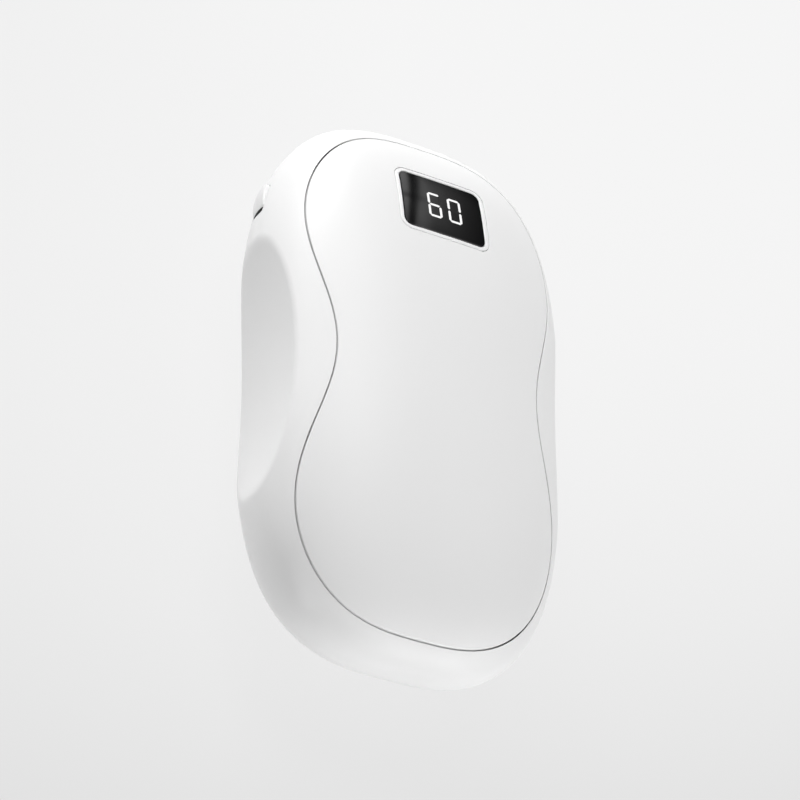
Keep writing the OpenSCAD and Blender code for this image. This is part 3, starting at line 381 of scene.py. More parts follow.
smoked_black = (0.0015, 0.0015, 0.0017)
FINISHES = {
    "shell_white": finish("satin_white_shell", grey(0.86), 0.42, grain=(3200, 0.28), mottle=(60, 0.006),
                          scuff=0.05, extra=satin_grain_and_slit_shade),
    "bezel_white": finish("bright_white_bezel", grey(0.9), 0.3, grain=(2600, 0.05), mottle=(90, 0.006)),
    "window_black": finish("smoked_black_window", smoked_black, 0.07, grain=(900, 0.02), mottle=(120, 0.2),
                           scuff=0.02, extra=smoked_layer),
    "segment_lit": finish("glowing_segment", grey(0.1), 0.35, mottle=(800, 0.02), glow=0.92),
    "segment_dark": finish("unlit_segment", smoked_black, 0.12, mottle=(800, 0.1), extra=smoked_layer),
    "foam_black": finish("black_gasket_foam", grey(0.05), 0.9, grain=(2400, 2.0), extra=foam_cells_and_painted_shade),
    "light_block": finish("light_block_plastic", (0.82, 0.82, 0.8), 0.55, grain=(1800, 0.3)),
    "steel": finish("drawn_steel", (0.62, 0.62, 0.63), 0.3, 1.0, grain=(3000, 0.15), extra=rolled_lines),
    "tin": finish("tinned_metal", (0.74, 0.74, 0.72), 0.35, 1.0, grain=(1600, 0.8), mottle=(900, 0.08)),
    "gold": finish("plated_contact", (0.9, 0.66, 0.27), 0.25, 1.0, grain=(2600, 0.1)),
    "board_green": finish("board_solder_mask", (0.03, 0.2, 0.09), 0.34, grain=(2200, 0.4),
                          extra=copper_tracks),
    "chip_black": finish("moulded_chip", (0.03, 0.03, 0.033), 0.6, grain=(5200, 0.6), mottle=(900, 0.1)),
    "ferrite": finish("ferrite_core", (0.12, 0.12, 0.125), 0.7, grain=(3600, 1.2), mottle=(1500, 0.2)),
    "ceramic": finish("fired_ceramic", (0.5, 0.38, 0.25), 0.5, grain=(2600, 0.5), mottle=(1100, 0.12)),
    "plunger_grey": finish("plunger_plastic", (0.28, 0.28, 0.29), 0.5, grain=(2400, 0.4)),
    "pouch": finish("pouch_foil", (0.62, 0.65, 0.69), 0.3, 0.9, grain=(1500, 0.6), extra=foil_creases),
    "lead_red": finish("red_insulation", (0.55, 0.03, 0.025), 0.38, grain=(1800, 0.3), mottle=(700, 0.08)),
    "lead_black": finish("black_insulation", grey(0.02), 0.38, grain=(1800, 0.3), mottle=(700, 0.1)),
    "lead_tan": finish("enamelled_wire", (0.6, 0.4, 0.2), 0.35, grain=(2500, 0.2), mottle=(900, 0.1)),
    "connector": finish("connector_plastic", (0.82, 0.78, 0.66), 0.5, grain=(1900, 0.4)),
    "tray_grey": finish("tray_plastic", grey(0.6), 0.55, grain=(1700, 0.8), mottle=(200, 0.03)),
    "tape": finish("foam_tape", (0.7, 0.7, 0.68), 0.8, grain=(1900, 1.5), mottle=(1200, 0.05)),
    "spreader": finish("rolled_aluminium", (0.75, 0.76, 0.78), 0.32, 1.0, grain=(2500, 0.3),
                       extra=rolled_lines),
    "film": finish("amber_heater_film", (0.6, 0.24, 0.05), 0.28, grain=(1200, 0.3), extra=heating_track),
    "pad": finish("grey_foam_pad", (0.3, 0.3, 0.31), 0.9, grain=(1600, 3.0), mottle=(1500, 0.15),
                  extra=foam_cells_and_painted_shade),
}
slot_of = {row["node"]: row["material_slot"] for row in frame["record"]["subparts"]}
for name, node in frame["nodes"].items():
    node.data.materials.clear()
    node.data.materials.append(FINISHES[slot_of[name]])


def new_piece(name, points, faces, slot, outward=True):
    """A piece from points in millimetres, with its faces turned outwards."""
    mesh = bpy.data.meshes.new(name)
    placed = (np.asarray(points, float) + (0, 0, mid_z)) * MM
    mesh.from_pydata(placed.tolist(), [], [list(map(int, f)) for f in faces])
    if outward:
        turn_outwards(mesh)
    mesh.materials.append(FINISHES[slot])
    return put(name, mesh)


def turn_outwards(mesh):
    work = bmesh.new()
    work.from_mesh(mesh)
    bmesh.ops.recalc_face_normals(work, faces=work.faces)
    work.to_mesh(mesh)
    work.free()


def loop_faces(n, m, wrap):
    """Quads between n loops of m points, joined end to end where wrap is true."""
    i, k = np.meshgrid(np.arange(n if wrap else n - 1), np.arange(m), indexing="ij")
    j, l = (i + 1) % n, (k + 1) % m
    return np.stack([i * m + k, j * m + k, j * m + l, i * m + l], -1).reshape(-1, 4).tolist()


def lofted(loops, wrap=False):
    """Points and faces of a tube through equal loops, closed into a ring or with flat ends."""
    n, m = len(loops), len(loops[0])
    points = np.concatenate([np.asarray(l, float) for l in loops])
    faces = loop_faces(n, m, wrap)
    if not wrap:
        faces += [list(range(m)), [(n - 1) * m + k for k in range(m - 1, -1, -1)]]
    return points, faces


def poled(loops, top, bottom):
    """Points and faces of a closed shape through loops between two poles."""
    n, m = len(loops), len(loops[0])
    points = np.concatenate([*[np.asarray(l, float) for l in loops], [top, bottom]])
    faces = loop_faces(n, m, False)
    faces += [[n * m, k, (k + 1) % m] for k in range(m)]
    faces += [[n * m + 1, (n - 1) * m + (k + 1) % m, (n - 1) * m + k] for k in range(m)]
    return points, faces


def joined(*shapes):
    """Several closed shapes as one list of points and faces."""
    points, faces = [], []
    for p, f in shapes:
        faces += [[v + len(points) for v in face] for face in f]
        points += [list(q) for q in np.asarray(p, float)]
    return np.array(points), faces


def rounded(w, l, r, arc=10, side=10):
    """Rectangle with round corners, as points: so many steps round a corner and along a side."""
    out = []
    for c in range(4):
        sx, sy = (1 if c in (0, 3) else -1), (1 if c < 2 else -1)
        o = np.array([sx * (w / 2 - r), sy * (l / 2 - r)])
        turn = np.radians(90 * c + 90 * np.arange(arc + 1) / arc)
        corner = o + r * np.stack([np.cos(turn), np.sin(turn)], -1)
        after = corner[-1] + (np.array([[-2, 0], [0, -2], [2, 0], [0, 2]][c])
                              * (np.array([w, l]) / 2 - r))
        out += [corner, corner[-1] + np.arange(1, side)[:, None] / side * (after - corner[-1])]
    return np.concatenate(out)


def edge_profile(r, deep, high=2.0):
    """Growth and depth of a cutter whose cut leaves a rounded edge of radius r."""
    turn = np.radians([0, 20, 40, 55, 70])
    rows = [(0.0, deep)] + [(r * (1 - math.cos(t)), r * (1 - math.sin(t))) for t in turn]
    grow, depth = rows[-1]
    lift = 0.36 * r
    flare = grow + lift * math.tan(turn[-1])
    return rows + [(flare, depth - lift), (flare, -high)]


def carve(piece, cutters, union=()):
    """Cuts some closed shapes out of a piece after joining others to it."""
    tools = []
    for operation, shapes in (("UNION", union), ("DIFFERENCE", cutters)):
        for shape in shapes:
            tool = new_piece("tool", *shape, "steel")
            cut = piece.modifiers.new("cut", "BOOLEAN")
            cut.object, cut.operation, cut.solver = tool, operation, "EXACT"
            tools.append(tool)
    finish_used = piece.data.materials[0]
    plain = made_plain(piece)
    for polygon in plain.polygons:
        polygon.material_index = 0
    plain.materials.clear()
    plain.materials.append(finish_used)
    for tool in tools:
        bpy.data.objects.remove(tool)


def made_plain(piece):
    """Puts the result of a piece's modifiers in their place."""
    graph = bpy.context.evaluated_depsgraph_get()
    plain = bpy.data.meshes.new_from_object(piece.evaluated_get(graph))
    piece.modifiers.clear()
    piece.data = plain
    return plain


def read(items, key, width=1, kind=float):
    """One property of all of a mesh's vertices, corners or faces, as an array."""
    values = np.empty(len(items) * width, kind)
    items.foreach_get(key, values)
    return values.reshape(-1, width) if width > 1 else values


def shade(piece, field=None, sharp=35, near=0.012):
    """Smooth shading with sharp edges past an angle. Where a field is given, the corners that lie
    on its surface take its exact slope, so that cuts leave no marks in the reflections."""
    mesh = piece.data
    mesh.polygons.foreach_set("use_smooth", [True] * len(mesh.polygons))
    mesh.set_sharp_from_angle(angle=math.radians(sharp))
    if field is None:
        return
    p = read(mesh.vertices, "co", 3) / MM - (0, 0, mid_z)
    step, facing = 0.02, 0.86
    slope = np.stack([field(p + step * e) - field(p - step * e) for e in np.eye(3)], -1) / (2 * step)
    size = np.linalg.norm(slope, axis=1)
    on = abs(field(p)) / np.maximum(size, 1e-6) < near
    slope = slope / np.maximum(size, 1e-6)[:, None]
    corner = read(mesh.loops, "vertex_index", kind=int)
    sides = read(mesh.polygons, "loop_total", kind=int)
    flat = np.repeat(read(mesh.polygons, "normal", 3), sides, axis=0)
    exact = slope[corner] * (on[corner] & ((slope[corner] * flat).sum(1) > facing))[:, None]
    mesh.normals_split_custom_set(exact.tolist())


def hand_over(piece, slot, *nodes, body="housing"):
    """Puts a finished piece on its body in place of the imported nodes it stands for."""
    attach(piece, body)
    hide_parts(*nodes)


# The housing ring: one section at each station, swept round the hourglass seam
def ring_loops(stations=480, steps=46):
    a = np.arange(stations) * math.tau / stations
    p = seam_off(a, seam_gap / 2)
    way = np.arctan2(p[:, 1], p[:, 0])
    z_seam = face_z(p[:, 0], p[:, 1])
    hourglass = seam(a)
    z_ledge = face_z(hourglass[:, 0], hourglass[:, 1]) - rim_h - seat_gap
    z_under = z_ledge - ledge_t
    start = np.arcsin((z_seam / half_t) ** (dome_power / 2))
    # Half of the steps lie above the height where a scoop meets the dome
    ratio = np.minimum(1, scoop_reach(way, crease_z) / polar(way, half_w, half_l, outline_power))
    middle = np.clip(np.arccos(ratio ** (dome_power / 2)), 0.4 * start, 0.9 * start)

    def outer(f):
        return side_point(way, half_t * np.sin(f) ** (2 / dome_power))

    def at(xy, z):
        return np.column_stack([xy, z + np.zeros(len(xy))])

    nudge = 0.004
    pace = np.linalg.norm(outer(start - nudge) - outer(start), axis=1) / nudge
    begin = start - edge_r / pace
    low, corner, high = at(p, z_seam - edge_r), at(p, z_seam), outer(begin)
    ledge = seam_off(a, -ledge_w)
    rows = [side_point(way, z_under) - wall * out_of_side(way, z_under),
            at(ledge, z_under), at(ledge, z_ledge), at(p, z_ledge), at(p, (z_ledge + z_seam) / 2)]
    rows += [(1 - t) ** 2 * low + 2 * t * (1 - t) * corner + t * t * high for t in (0, 0.25, 0.5, 0.75)]
    half = steps // 2
    rows += [outer(begin + (middle - begin) * k / half) for k in range(half + 1)]
    rows += [outer(middle * (1 - k / half)) for k in range(1, half + 1)]
    rows += [r * (1, 1, -1) for r in rows[-2::-1]]
    return np.stack(rows, 1)


def bisect(field, low, high):
    """Where a field changes sign between two rows of points."""
    for _ in range(30):
        middle = (low + high) / 2
        inside = (field(middle) < 0)[:, None]
        low, high = np.where(inside, middle, low), np.where(inside, high, middle)
    return (low + high) / 2


def in_button_frame(x, outline):
    """Points of an outline across the button's axis, at one distance or at many along it."""
    x = np.broadcast_to(x, (len(outline),))
    return (button_p + x[:, None] * button_x + outline[:, :1] * button_side
            + outline[:, 1:] * np.array([0, 0, 1.0]))


def side_cutter(profile, loop_at, axis, low, high):
    """Cutter along an axis, with a rounded edge that follows the outer face between low and high."""
    loops, flat_from = [], 1
    for grow, depth in profile:
        if depth > flat_from:
            loops.append(loop_at(grow, -depth))
        else:
            loops.append(bisect(side_field, loop_at(grow, low), loop_at(grow, high)) - depth * axis)
    return lofted(loops)


def button_hole(grow, x):
    g = button_gap + grow
    outline = rounded(button_l + button_slit + 2 * g, button_w + 2 * g, button_r + g)
    return in_button_frame(x, outline + (button_slit / 2, 0))


def socket_loop(grow, y, side=6):
    outline = rounded(usb_w + 2 * grow, usb_h + 2 * grow, usb_r + grow, 12, side)
    return np.column_stack([outline[:, 0], np.full(len(outline), y), outline[:, 1]])


def socket_hole(grow, y):
    return socket_loop(usb_gap + grow, half_l + y, 12)


def column(c, r, low, high, n=40):
    """Upright round column."""
    turn = np.arange(n) * math.tau / n
    ring = r * np.stack([np.cos(turn), np.sin(turn)], -1) + c
    return lofted([np.column_stack([ring, np.full(n, z)]) for z in (low, high)])


upper_lug = np.array([outline_x(half_l - upper_in) - upper_aside, half_l - upper_in])
lower_lug = np.array([outline_x(half_l - lower_in) - lower_aside, lower_in - half_l])
lower_way = np.arctan2(lower_lug[1], lower_lug[0])
lug_top = lug_h + lug_clear + rim_h - float(face_z(*seam(lower_way)))


def lug_parts():
    """Screw lugs with their webs, and the pilot holes in them."""
    web_half, sunk, spare, past = 0.7 * lug_r, 0.8 * wall, 0.3, 1
    solid, holes = [], []
    for lug in (upper_lug, lower_lug):
        way = math.atan2(lug[1], lug[0])
        reach = float(side_reach(way, lug_top - lug_h)) - np.linalg.norm(lug) - sunk
        along = np.array([math.cos(way), math.sin(way)])
        across = np.array([-along[1], along[0]])
        for side in (1, -1):
            solid.append(column(lug * (side, 1), lug_r, lug_top - lug_h, lug_top))
            foot = [(lug + u * reach * along + v * web_half * across) * (side, 1)
                    for u, v in ((0, -1), (1, -1), (1, 1), (0, 1))]
            solid.append(lofted([[(*q, z) for q in foot] for z in (lug_top - lug_h, lug_top)]))
            holes.append(column(lug * (side, 1), screw_r, lug_top - screw_bite - spare, lug_top + past, 24))
    return solid, holes


ring = new_piece("housing_shell_ring", *lofted(ring_loops(), True), "shell_white")
lugs, pilots = lug_parts()
button_cutter = side_cutter(edge_profile(button_hole_r, button_wall + 1.2), button_hole, button_x, -4, 4)
socket_cutter = side_cutter(edge_profile(socket_hole_r, 6.0), socket_hole, np.array([0, 1, 0]), -6, 3)
carve(ring, [button_cutter, socket_cutter, *pilots], lugs)
shade(ring, side_field)
hand_over(ring, "shell_white", "housing_ring")


def open_tree(name, sizes, shaped=False):
    """A geometry tree that has its sizes and its finish as named inputs, and those inputs."""
    group = bpy.data.node_groups.new(name, "GeometryNodeTree")

    def add(key, kind, way="INPUT"):
        return group.interface.new_socket(key, in_out=way, socket_type="NodeSocket" + kind)

    if shaped:
        add("Geometry", "Geometry")
    for key, value in sizes.items():
        add(key, "Int" if isinstance(value, int) else "Float").default_value = value
    add("Finish", "Material")
    add("Geometry", "Geometry", "OUTPUT")
    t = Tree(group)
    start = group.nodes.new("NodeGroupInput")
    keys = [*sizes, "Finish", *(["Geometry"] if shaped else [])]
    return t, {key: Sock(t, start.outputs[key]) for key in keys}


def close_tree(t, shape, finish_used):
    real = t.node("GeometryNodeRealizeInstances", None, {0: shape})
    dressed = t.node("GeometryNodeSetMaterial", None, {"Geometry": real, "Material": finish_used})
    t.node("NodeGroupOutput", None, {0: dressed})
    return t.tree


# The covers: one tree of geometry nodes holds the rule of their shape
CARRIED = ("way", "share", "off", "inset", "drop", "on_rim")


def cover_tree():
    """Places every point of a cover by its direction round the middle, its share of the way to
    the seam, its distance off the seam and its depth, all of which the mesh carries."""
    t, size = open_tree("hourglass_cover", {
        "Half Width": half_w, "Half Length": half_l, "Half Thickness": half_t,
        "Outline Power": outline_power, "Dome Power": dome_power, "Rim Side": rim_side,
        "Rim End": rim_end, "Cover Power": cover_power, "Waist Draw": waist_draw,
        "Waist Span": waist_span, "Waist Place": waist_y, "Shift": cover_y,
        "Lobe Taper": lobe_taper, "Rim Height": rim_h, "Flat Height": half_t + 1, "Side": 1.0}, True)
    way, share, off, inset, drop, on_rim = (
        t.node("GeometryNodeInputNamedAttribute", {"data_type": "FLOAT"}, {"Name": name}) for name in CARRIED)
    inner_w, inner_l = size["Half Width"] - size["Rim Side"], size["Half Length"] - size["Rim End"]
    power = size["Cover Power"]

    def hourglass(turn):
        a = way + turn
        c, s = a.math("COSINE"), a.math("SINE")
        r = (abs(c / inner_w) ** power + abs(s / inner_l) ** power) ** (-1 / power)
        y = r * s
        from_waist = (y - size["Waist Place"]) / size["Waist Span"]
        drawn = 1 - size["Waist Draw"] * (0 - from_waist * from_waist).math("EXPONENT")
        return r * c * drawn * (1 - size["Lobe Taper"] * y / size["Half Length"]), y + size["Shift"]

    def dome(x, y, depth):
        p, q = size["Outline Power"], size["Dome Power"]
        u = abs(x / (size["Half Width"] - depth)) ** p + abs(y / (size["Half Length"] - depth)) ** p
        return (size["Half Thickness"] - depth) * (1 - u ** (q / p)).math("MAXIMUM", 0.0) ** (1 / q)

    x0, y0 = hourglass(0.0)
    xa, ya = hourglass(-turn_step)
    xb, yb = hourglass(turn_step)
    tx, ty = xb - xa, yb - ya
    length = (tx * tx + ty * ty).math("SQRT")
    x = (x0 + off * ty / length) * share
    y = size["Shift"] + (y0 - off * tx / length - size["Shift"]) * share
    blend = 0.1
    raised = dome(x, y, inset)
    near = (blend - abs(raised - size["Flat Height"])).math("MAXIMUM", 0.0) / blend
    raised = raised.math("MINIMUM", size["Flat Height"]) - near * near * (blend / 4)
    rim = dome(x0, y0, 0.0) - size["Rim Height"]
    z = ((raised - drop) * (1 - on_rim) + rim * on_rim) * size["Side"]
    place = t.vector(x * MM, y * MM, (z + mid_z) * MM)
    moved = t.node("GeometryNodeSetPosition", None, {"Geometry": size["Geometry"], "Position": place})
    return close_tree(t, moved, size["Finish"])


def grow_tree(piece, group, **inputs):
    """Runs a tree on a piece with some of its named inputs set, and keeps the plain result."""
    live = piece.modifiers.new("grown", "NODES")
    live.node_group = group
    for item in group.interface.items_tree:
        if getattr(item, "in_out", "") == "INPUT" and item.name in inputs:
            live[item.identifier] = inputs[item.name]
    plain = made_plain(piece)
    for name in CARRIED:
        if name in plain.attributes:
            plain.attributes.remove(plain.attributes[name])
    turn_outwards(plain)


def cover_blank(name, stations=480, outer_steps=52, inner_steps=14):
    """Unplaced mesh of a cover, whose points carry where they belong."""
    rim_off = -seam_gap / 2
    lip_off = -(ledge_w + clip_gap + clip_t)
    # Share of the way to the seam that the rounded edge takes
    eased = edge_r / 40
    rows = [(k / outer_steps * (1 - eased), rim_off, 0, 0, 0) for k in range(1, outer_steps + 1)]
    rows += [(1 - eased * (1 - t) ** 2, rim_off, 0, edge_r * t * t, 0) for t in (0.3, 0.6, 0.85, 1)]
    rows += [(1, rim_off, 0, edge_r + 0.6, 0), (1, rim_off, 0, 0, 1), (1, lip_off, 0, 0, 1)]
    rows += [((inner_steps - k) / inner_steps, lip_off, cover_t, 0, 0) for k in range(inner_steps)]
    turn = np.arange(stations) * math.tau / stations
    points, faces = poled([np.zeros((stations, 3))] * len(rows), (0, 0, 0), (0, 0, 0))
    piece = new_piece(name, points, faces, "shell_white", outward=False)
    poles = [(0, 0, 0, 0, 0), (0, 0, cover_t, 0, 0)]
    table = np.array([row for row in rows for _ in turn] + poles, float)
    ways = np.concatenate([np.tile(turn, len(rows)), [0, 0]])
    for key, values in zip(CARRIED, (ways, *table.T)):
        piece.data.attributes.new(key, "FLOAT", "POINT").data.foreach_set("value", values)
    return piece


def clips(side):
    """Snap clips under a cover's rim."""
    shapes = []
    for degrees in clip_ways:
        a = math.radians(degrees)
        p, n = seam(a), seam_normal(a)
        t = np.array([-n[1], n[0]])
        z_rim = float(face_z(*p)) - rim_h
        z_root = z_rim + 0.4
        z_catch = z_rim - seat_gap - ledge_t - 3 * clip_gap
        out = -ledge_w - clip_gap
        section = [(out - clip_t, z_root), (out - clip_t, z_catch - hook_h), (out, z_catch - hook_h),
                   (out + hook_reach + clip_gap, z_catch), (out, z_catch), (out, z_root)]
        shapes.append(lofted([[(*(p + x * n + w * t), side * z) for x, z in section]
                              for w in (-clip_w / 2, clip_w / 2)]))
    return shapes


def window_outline(out, arc=12, side=16):
    """The window's outline, grown by some distance."""
    return rounded(window_w + 2 * out, window_l + 2 * out, window_r + out, arc, side)


def on_dome(outline, depth):
    """Points of an outline round the window's middle, at one depth below the dome."""
    q = outline + window_c
    return np.column_stack([q, face_z(q[:, 0], q[:, 1]) - depth])


def over_dome(p):
    """Height of a point over the domed face."""
    return p[..., 2] - face_z(p[..., 0], p[..., 1])


def window_cutter():
    """Opening for the bezel, with a rounded edge that follows the dome."""
    out = bezel_w + 2 * fit_gap
    profile = edge_profile(window_hole_r, 6.0)
    return lofted([on_dome(window_outline(out + grow), depth) for grow, depth in profile])


cover_rule = cover_tree()
front = cover_blank("front_shell_cover")
grow_tree(front, cover_rule, Finish=FINISHES["shell_white"])
carve(front, [window_cutter()], clips(1))
shade(front, over_dome)
hand_over(front, "shell_white", "front_cover")

rear = cover_blank("rear_shell_cover")
grow_tree(rear, cover_rule, Finish=FINISHES["shell_white"], Side=-1.0, **{"Flat Height": mid_z})
carve(rear, [], clips(-1))
shade(rear, lambda p: -p[..., 2] - rear_top(p[..., 0], p[..., 1]))
hand_over(rear, "shell_white", "rear_cover")


# The display: bezel, window and digits, all of which follow the dome
window_y = window_c[1]
window_fall = float(face_z(0, window_y - window_l / 2) - face_z(0, window_y + window_l / 2))
window_tilt = math.atan(window_fall / window_l)
bezel_depth = cover_t / math.cos(window_tilt) + fit_gap


def arc_corner(c, r, first, last, n=5):
    """Quarter circle about c between two directions, as pairs of distance out and depth."""
    turn = np.radians(np.linspace(first, last, n))
    return [(c[0] + r * math.cos(t), c[1] - r * math.sin(t)) for t in turn]


def bezel_shape():
    """Frame with rounded lips, a flange behind the cover and a seat for the window."""
    outer, lip_out, lip_in = fit_gap + bezel_w, 0.2, 0.25
    back, seat, seat_in = bezel_depth + flange_t, window_t + mount_gap, -0.6
    section = [*arc_corner((outer - lip_out, lip_out), lip_out, 90, 0), (outer, bezel_depth),
               (outer + flange_w, bezel_depth), (outer + flange_w, back), (seat_in, back), (seat_in, seat),
               (fit_gap, seat), *arc_corner((fit_gap + lip_in, lip_in), lip_in, 180, 90)]
    return lofted([on_dome(window_outline(out), depth) for out, depth in section], True)


bezel = new_piece("window_bezel", *bezel_shape(), "bezel_white")
shade(bezel, over_dome, near=0.003)
hand_over(bezel, "bezel_white", "display_bezel")


def bar(length, first, last):
    """A segment along X with 45 degree ends, set in by a gap at each end."""
    h, left, right = stroke / 2, first - length / 2, length / 2 - last
    return np.array([(left, 0), (left + h, h), (right - h, h), (right, 0), (right - h, -h), (left + h, -h)])


def digit(c):
    """The seven segments: top, upper right, lower right, bottom, lower left, upper left, middle.
    They meet closely at the corners and stand apart at the sides' middles, as they glow."""
    w, h = digit_w - stroke, (digit_h - stroke) / 2
    corner, waist, inner = 0.015, 0.13, 0.05
    across, middle = bar(w, corner, corner), bar(w, inner, inner)
    rise, fall = bar(h, waist, corner), bar(h, corner, waist)
    up, down = (np.stack([-b[:, 1], b[:, 0]], -1) for b in (rise, fall))
    left, right = c - w / 2, c + w / 2
    return [across + (c, h), up + (right, h / 2), down + (right, -h / 2), across + (c, -h),
            down + (left, -h / 2), up + (left, h / 2), middle + (c, 0)]


six, nought = (digit(digit_x + s * digit_pitch / 2) for s in (-1, 1))
lit, unlit = [six[0], *six[2:], *nought[:6]], [six[1], nought[6]]


def prism(outline, top, bottom):
    """Upright prism of a segment between two depths below the dome."""
    return lofted([on_dome(outline, top), on_dome(outline, bottom)])


def window_shape():
    """Smoked plate with a slightly eased edge."""
    eased, eased_down = 0.994, 0.05
    rows = [(share, 0.0) for share in np.linspace(0.06, 1, 16)[:-1]] + [(eased, 0.0), (1.0, eased_down)]
    rim = window_outline(0, 10, 14)
    loops = [on_dome(rim * share, depth) for share, depth in rows]
    loops += [on_dome(rim, window_t), on_dome(rim * 0.5, window_t)]
    middle = face_z(*window_c)
    return poled(loops, (*window_c, middle), (*window_c, middle - window_t))


pocket = 0.5
window = new_piece("smoked_window", *window_shape(), "window_black")
carve(window, [prism(outline, -0.5, pocket) for outline in six + nought])
shade(window, over_dome, near=0.006)
hand_over(window, "window_black", "display_window")
for name, bars, slot, node in (("glowing_segments", lit, "segment_lit", "lit_segments"),
                               ("resting_segments", unlit, "segment_dark", "unlit_segments")):
    segments = new_piece(name, *joined(*[prism(outline, 0.0, pocket - 0.01) for outline in bars]), slot)
    hand_over(segments, slot, node)


# The power button: cap, flange and stem along one axis
def button_shape():
    lip, skirt, foot_in, plate_r, stem_l = 0.3, -0.6, 0.8, 0.3, 0.3
    flange_x = -button_wall - flange_play
    low, high = 0.6 - button_w / 2, button_w - 0.9
    neck, back = flange_x + 1.2, flange_x - flange_thick
    tip = back - stem_l

    def crown(outline):
        across = ((outline + (crown_shift, -crown_rise)) ** 2).sum(1)
        return button_proud - crown_r + np.sqrt(crown_r**2 - across)

    def cap(shrink, drop=0.0, share=1.0):
        outline = share * rounded(button_l - 2 * shrink, button_w - 2 * shrink,
                                  button_r - 0.6 * shrink, 10, 8)
        return in_button_frame(crown(outline) - drop, outline)

    loops = [cap(lip, 0.0, share) for share in (0.08, 0.3, 0.55, 0.8)]
    for t in np.radians([90, 72, 54, 36, 18, 0]):
        loops.append(cap(lip * (1 - math.cos(t)), lip * (1 - math.sin(t))))
    base = rounded(button_l, button_w, button_r, 10, 8)
    foot = rounded(button_l - foot_in, high, plate_r, 10, 8) + (0, low + high / 2)
    plate = rounded(2 * flange_half, high, plate_r, 10, 8) + (0, low + high / 2)
    turn = np.arctan2(base[:, 1], base[:, 0])
    stem = np.stack([np.cos(turn), np.sin(turn)], -1)
    loops += [in_button_frame(x, outline) for x, outline in (
        (skirt, base), (neck, base), (neck, foot), (flange_x, foot), (flange_x, plate),
        (back, plate), (back, stem), (tip + 0.1, stem), (tip, 0.9 * stem))]
    ends = [button_p + x * button_x for x in (float(crown(np.zeros((1, 2)))[0]), tip)]
    return poled(loops, *ends)


button = new_piece("power_button_cap", *button_shape(), "shell_white")
shade(button, sharp=40)
hand_over(button, "shell_white", "power_button", body="button")


# The charging socket: rolled shell, tongue and contacts
def socket_shape():
    back, curl, lip = usb_front - usb_l, 0.12, usb_front - 0.03
    rows = [(-curl, back), (0, back + curl), (0, usb_front - curl), (-0.04, lip), (-0.15, usb_front),
            (-0.26, lip), (-usb_t, usb_front - curl), (-usb_t, back + usb_t)]
    return lofted([socket_loop(g, y) for g, y in rows])


socket = new_piece("socket_shell", *socket_shape(), "steel")
shade(socket, sharp=50)
hand_over(socket, "steel", "usb_shell")


def repeat_tree(name, sizes, build):
    """A tree with named sizes that sets one shape at many points and makes it plain."""
    t, size = open_tree(name, sizes)
    points, shape = build(t, size)
    copies = t.node("GeometryNodeInstanceOnPoints", None, {"Points": points, "Instance": shape})
    return close_tree(t, copies, size["Finish"])


def shifted(t, shape, x=0.0, y=0.0, z=0.0):
    return t.node("GeometryNodeTransform", None, {"Geometry": shape, "Translation": t.vector(x, y, z)})


def contact_rows(t, size):
    """Two rows of contacts, above and below the tongue."""
    span = (size["Count"] - 1) * size["Pitch"]
    grid = t.node("GeometryNodeMeshGrid", None, {"Size X": span, "Size Y": size["Row Gap"],
                                                "Vertices X": size["Count"], "Vertices Y": 2})
    upright = t.node("GeometryNodeTransform", None, {"Geometry": grid, "Rotation": (math.pi / 2, 0, 0)})
    strip = t.node("GeometryNodeMeshCube", None,
                   {"Size": t.vector(size["Width"], size["Length"], size["Thickness"])})
    return shifted(t, upright, y=size["Place Y"], z=size["Place Z"]), strip


def screw_pair(t, size):
    """Two pan head screws with a cross recess and a ridged thread."""
    slit_w, slit_deep, doming, eased = 0.0004, 0.001, 120, 0.0004
    thread_rate, thread_share = 12000, 0.045
    head = t.node("GeometryNodeMeshCylinder", {"fill_type": "NGON"},
                  {"Vertices": 40, "Fill Segments": 5, "Side Segments": 3, "Radius": size["Head Radius"],
                   "Depth": size["Head Height"]})
    x, y, z = t.parts(t.node("GeometryNodeInputPosition"))
    domed = t.vector(0.0, 0.0, 0 - (x * x + y * y) * t.step(z, 0.0, eased) * doming)
    head = t.node("GeometryNodeSetPosition", None, {"Geometry": head, "Offset": domed})
    slit_l, high = size["Head Radius"] * 1.2, size["Head Height"] * 0.5
    for w, l in ((slit_l, slit_w), (slit_w, slit_l)):
        slit = t.node("GeometryNodeMeshCube", None, {"Size": t.vector(w, l, slit_deep)})
        head = t.node("GeometryNodeMeshBoolean", {"operation": "DIFFERENCE"},
                      {"Mesh 1": head, "Mesh 2": shifted(t, slit, z=high)})
    shank = t.node("GeometryNodeMeshCylinder", None,
                   {"Vertices": 24, "Side Segments": 60, "Radius": size["Shank Radius"],
                    "Depth": size["Shank Length"]})
    swell = ((z * thread_rate).math("SINE") - 1) * thread_share
    ridged = t.node("GeometryNodeSetPosition", None,
                    {"Geometry": shank, "Offset": t.vector(x * swell, y * swell, 0.0)})
    seat = shifted(t, head, z=size["Head Height"] / 2)
    shank = shifted(t, ridged, z=0 - size["Shank Length"] / 2)
    both = t.node("GeometryNodeJoinGeometry")
    for part in (shank, seat):
        t.tree.links.new(part.socket, both.socket.node.inputs[0])
    across, along, up = size["Place X"], size["Place Y"], size["Seat Z"]
    line = t.node("GeometryNodeMeshLine", {"mode": "END_POINTS"}, {
        "Count": 2, "Start Location": t.vector(0 - across, along, up), "Offset": t.vector(across, along, up)})
    return line, both


def repeated(name, group, slot, *nodes, **inputs):
    """A piece that a tree makes from nothing but its named sizes."""
    piece = put(name, bpy.data.meshes.new(name))
    grow_tree(piece, group, Finish=FINISHES[slot], **inputs)
    shade(piece)
    hand_over(piece, slot, *nodes)


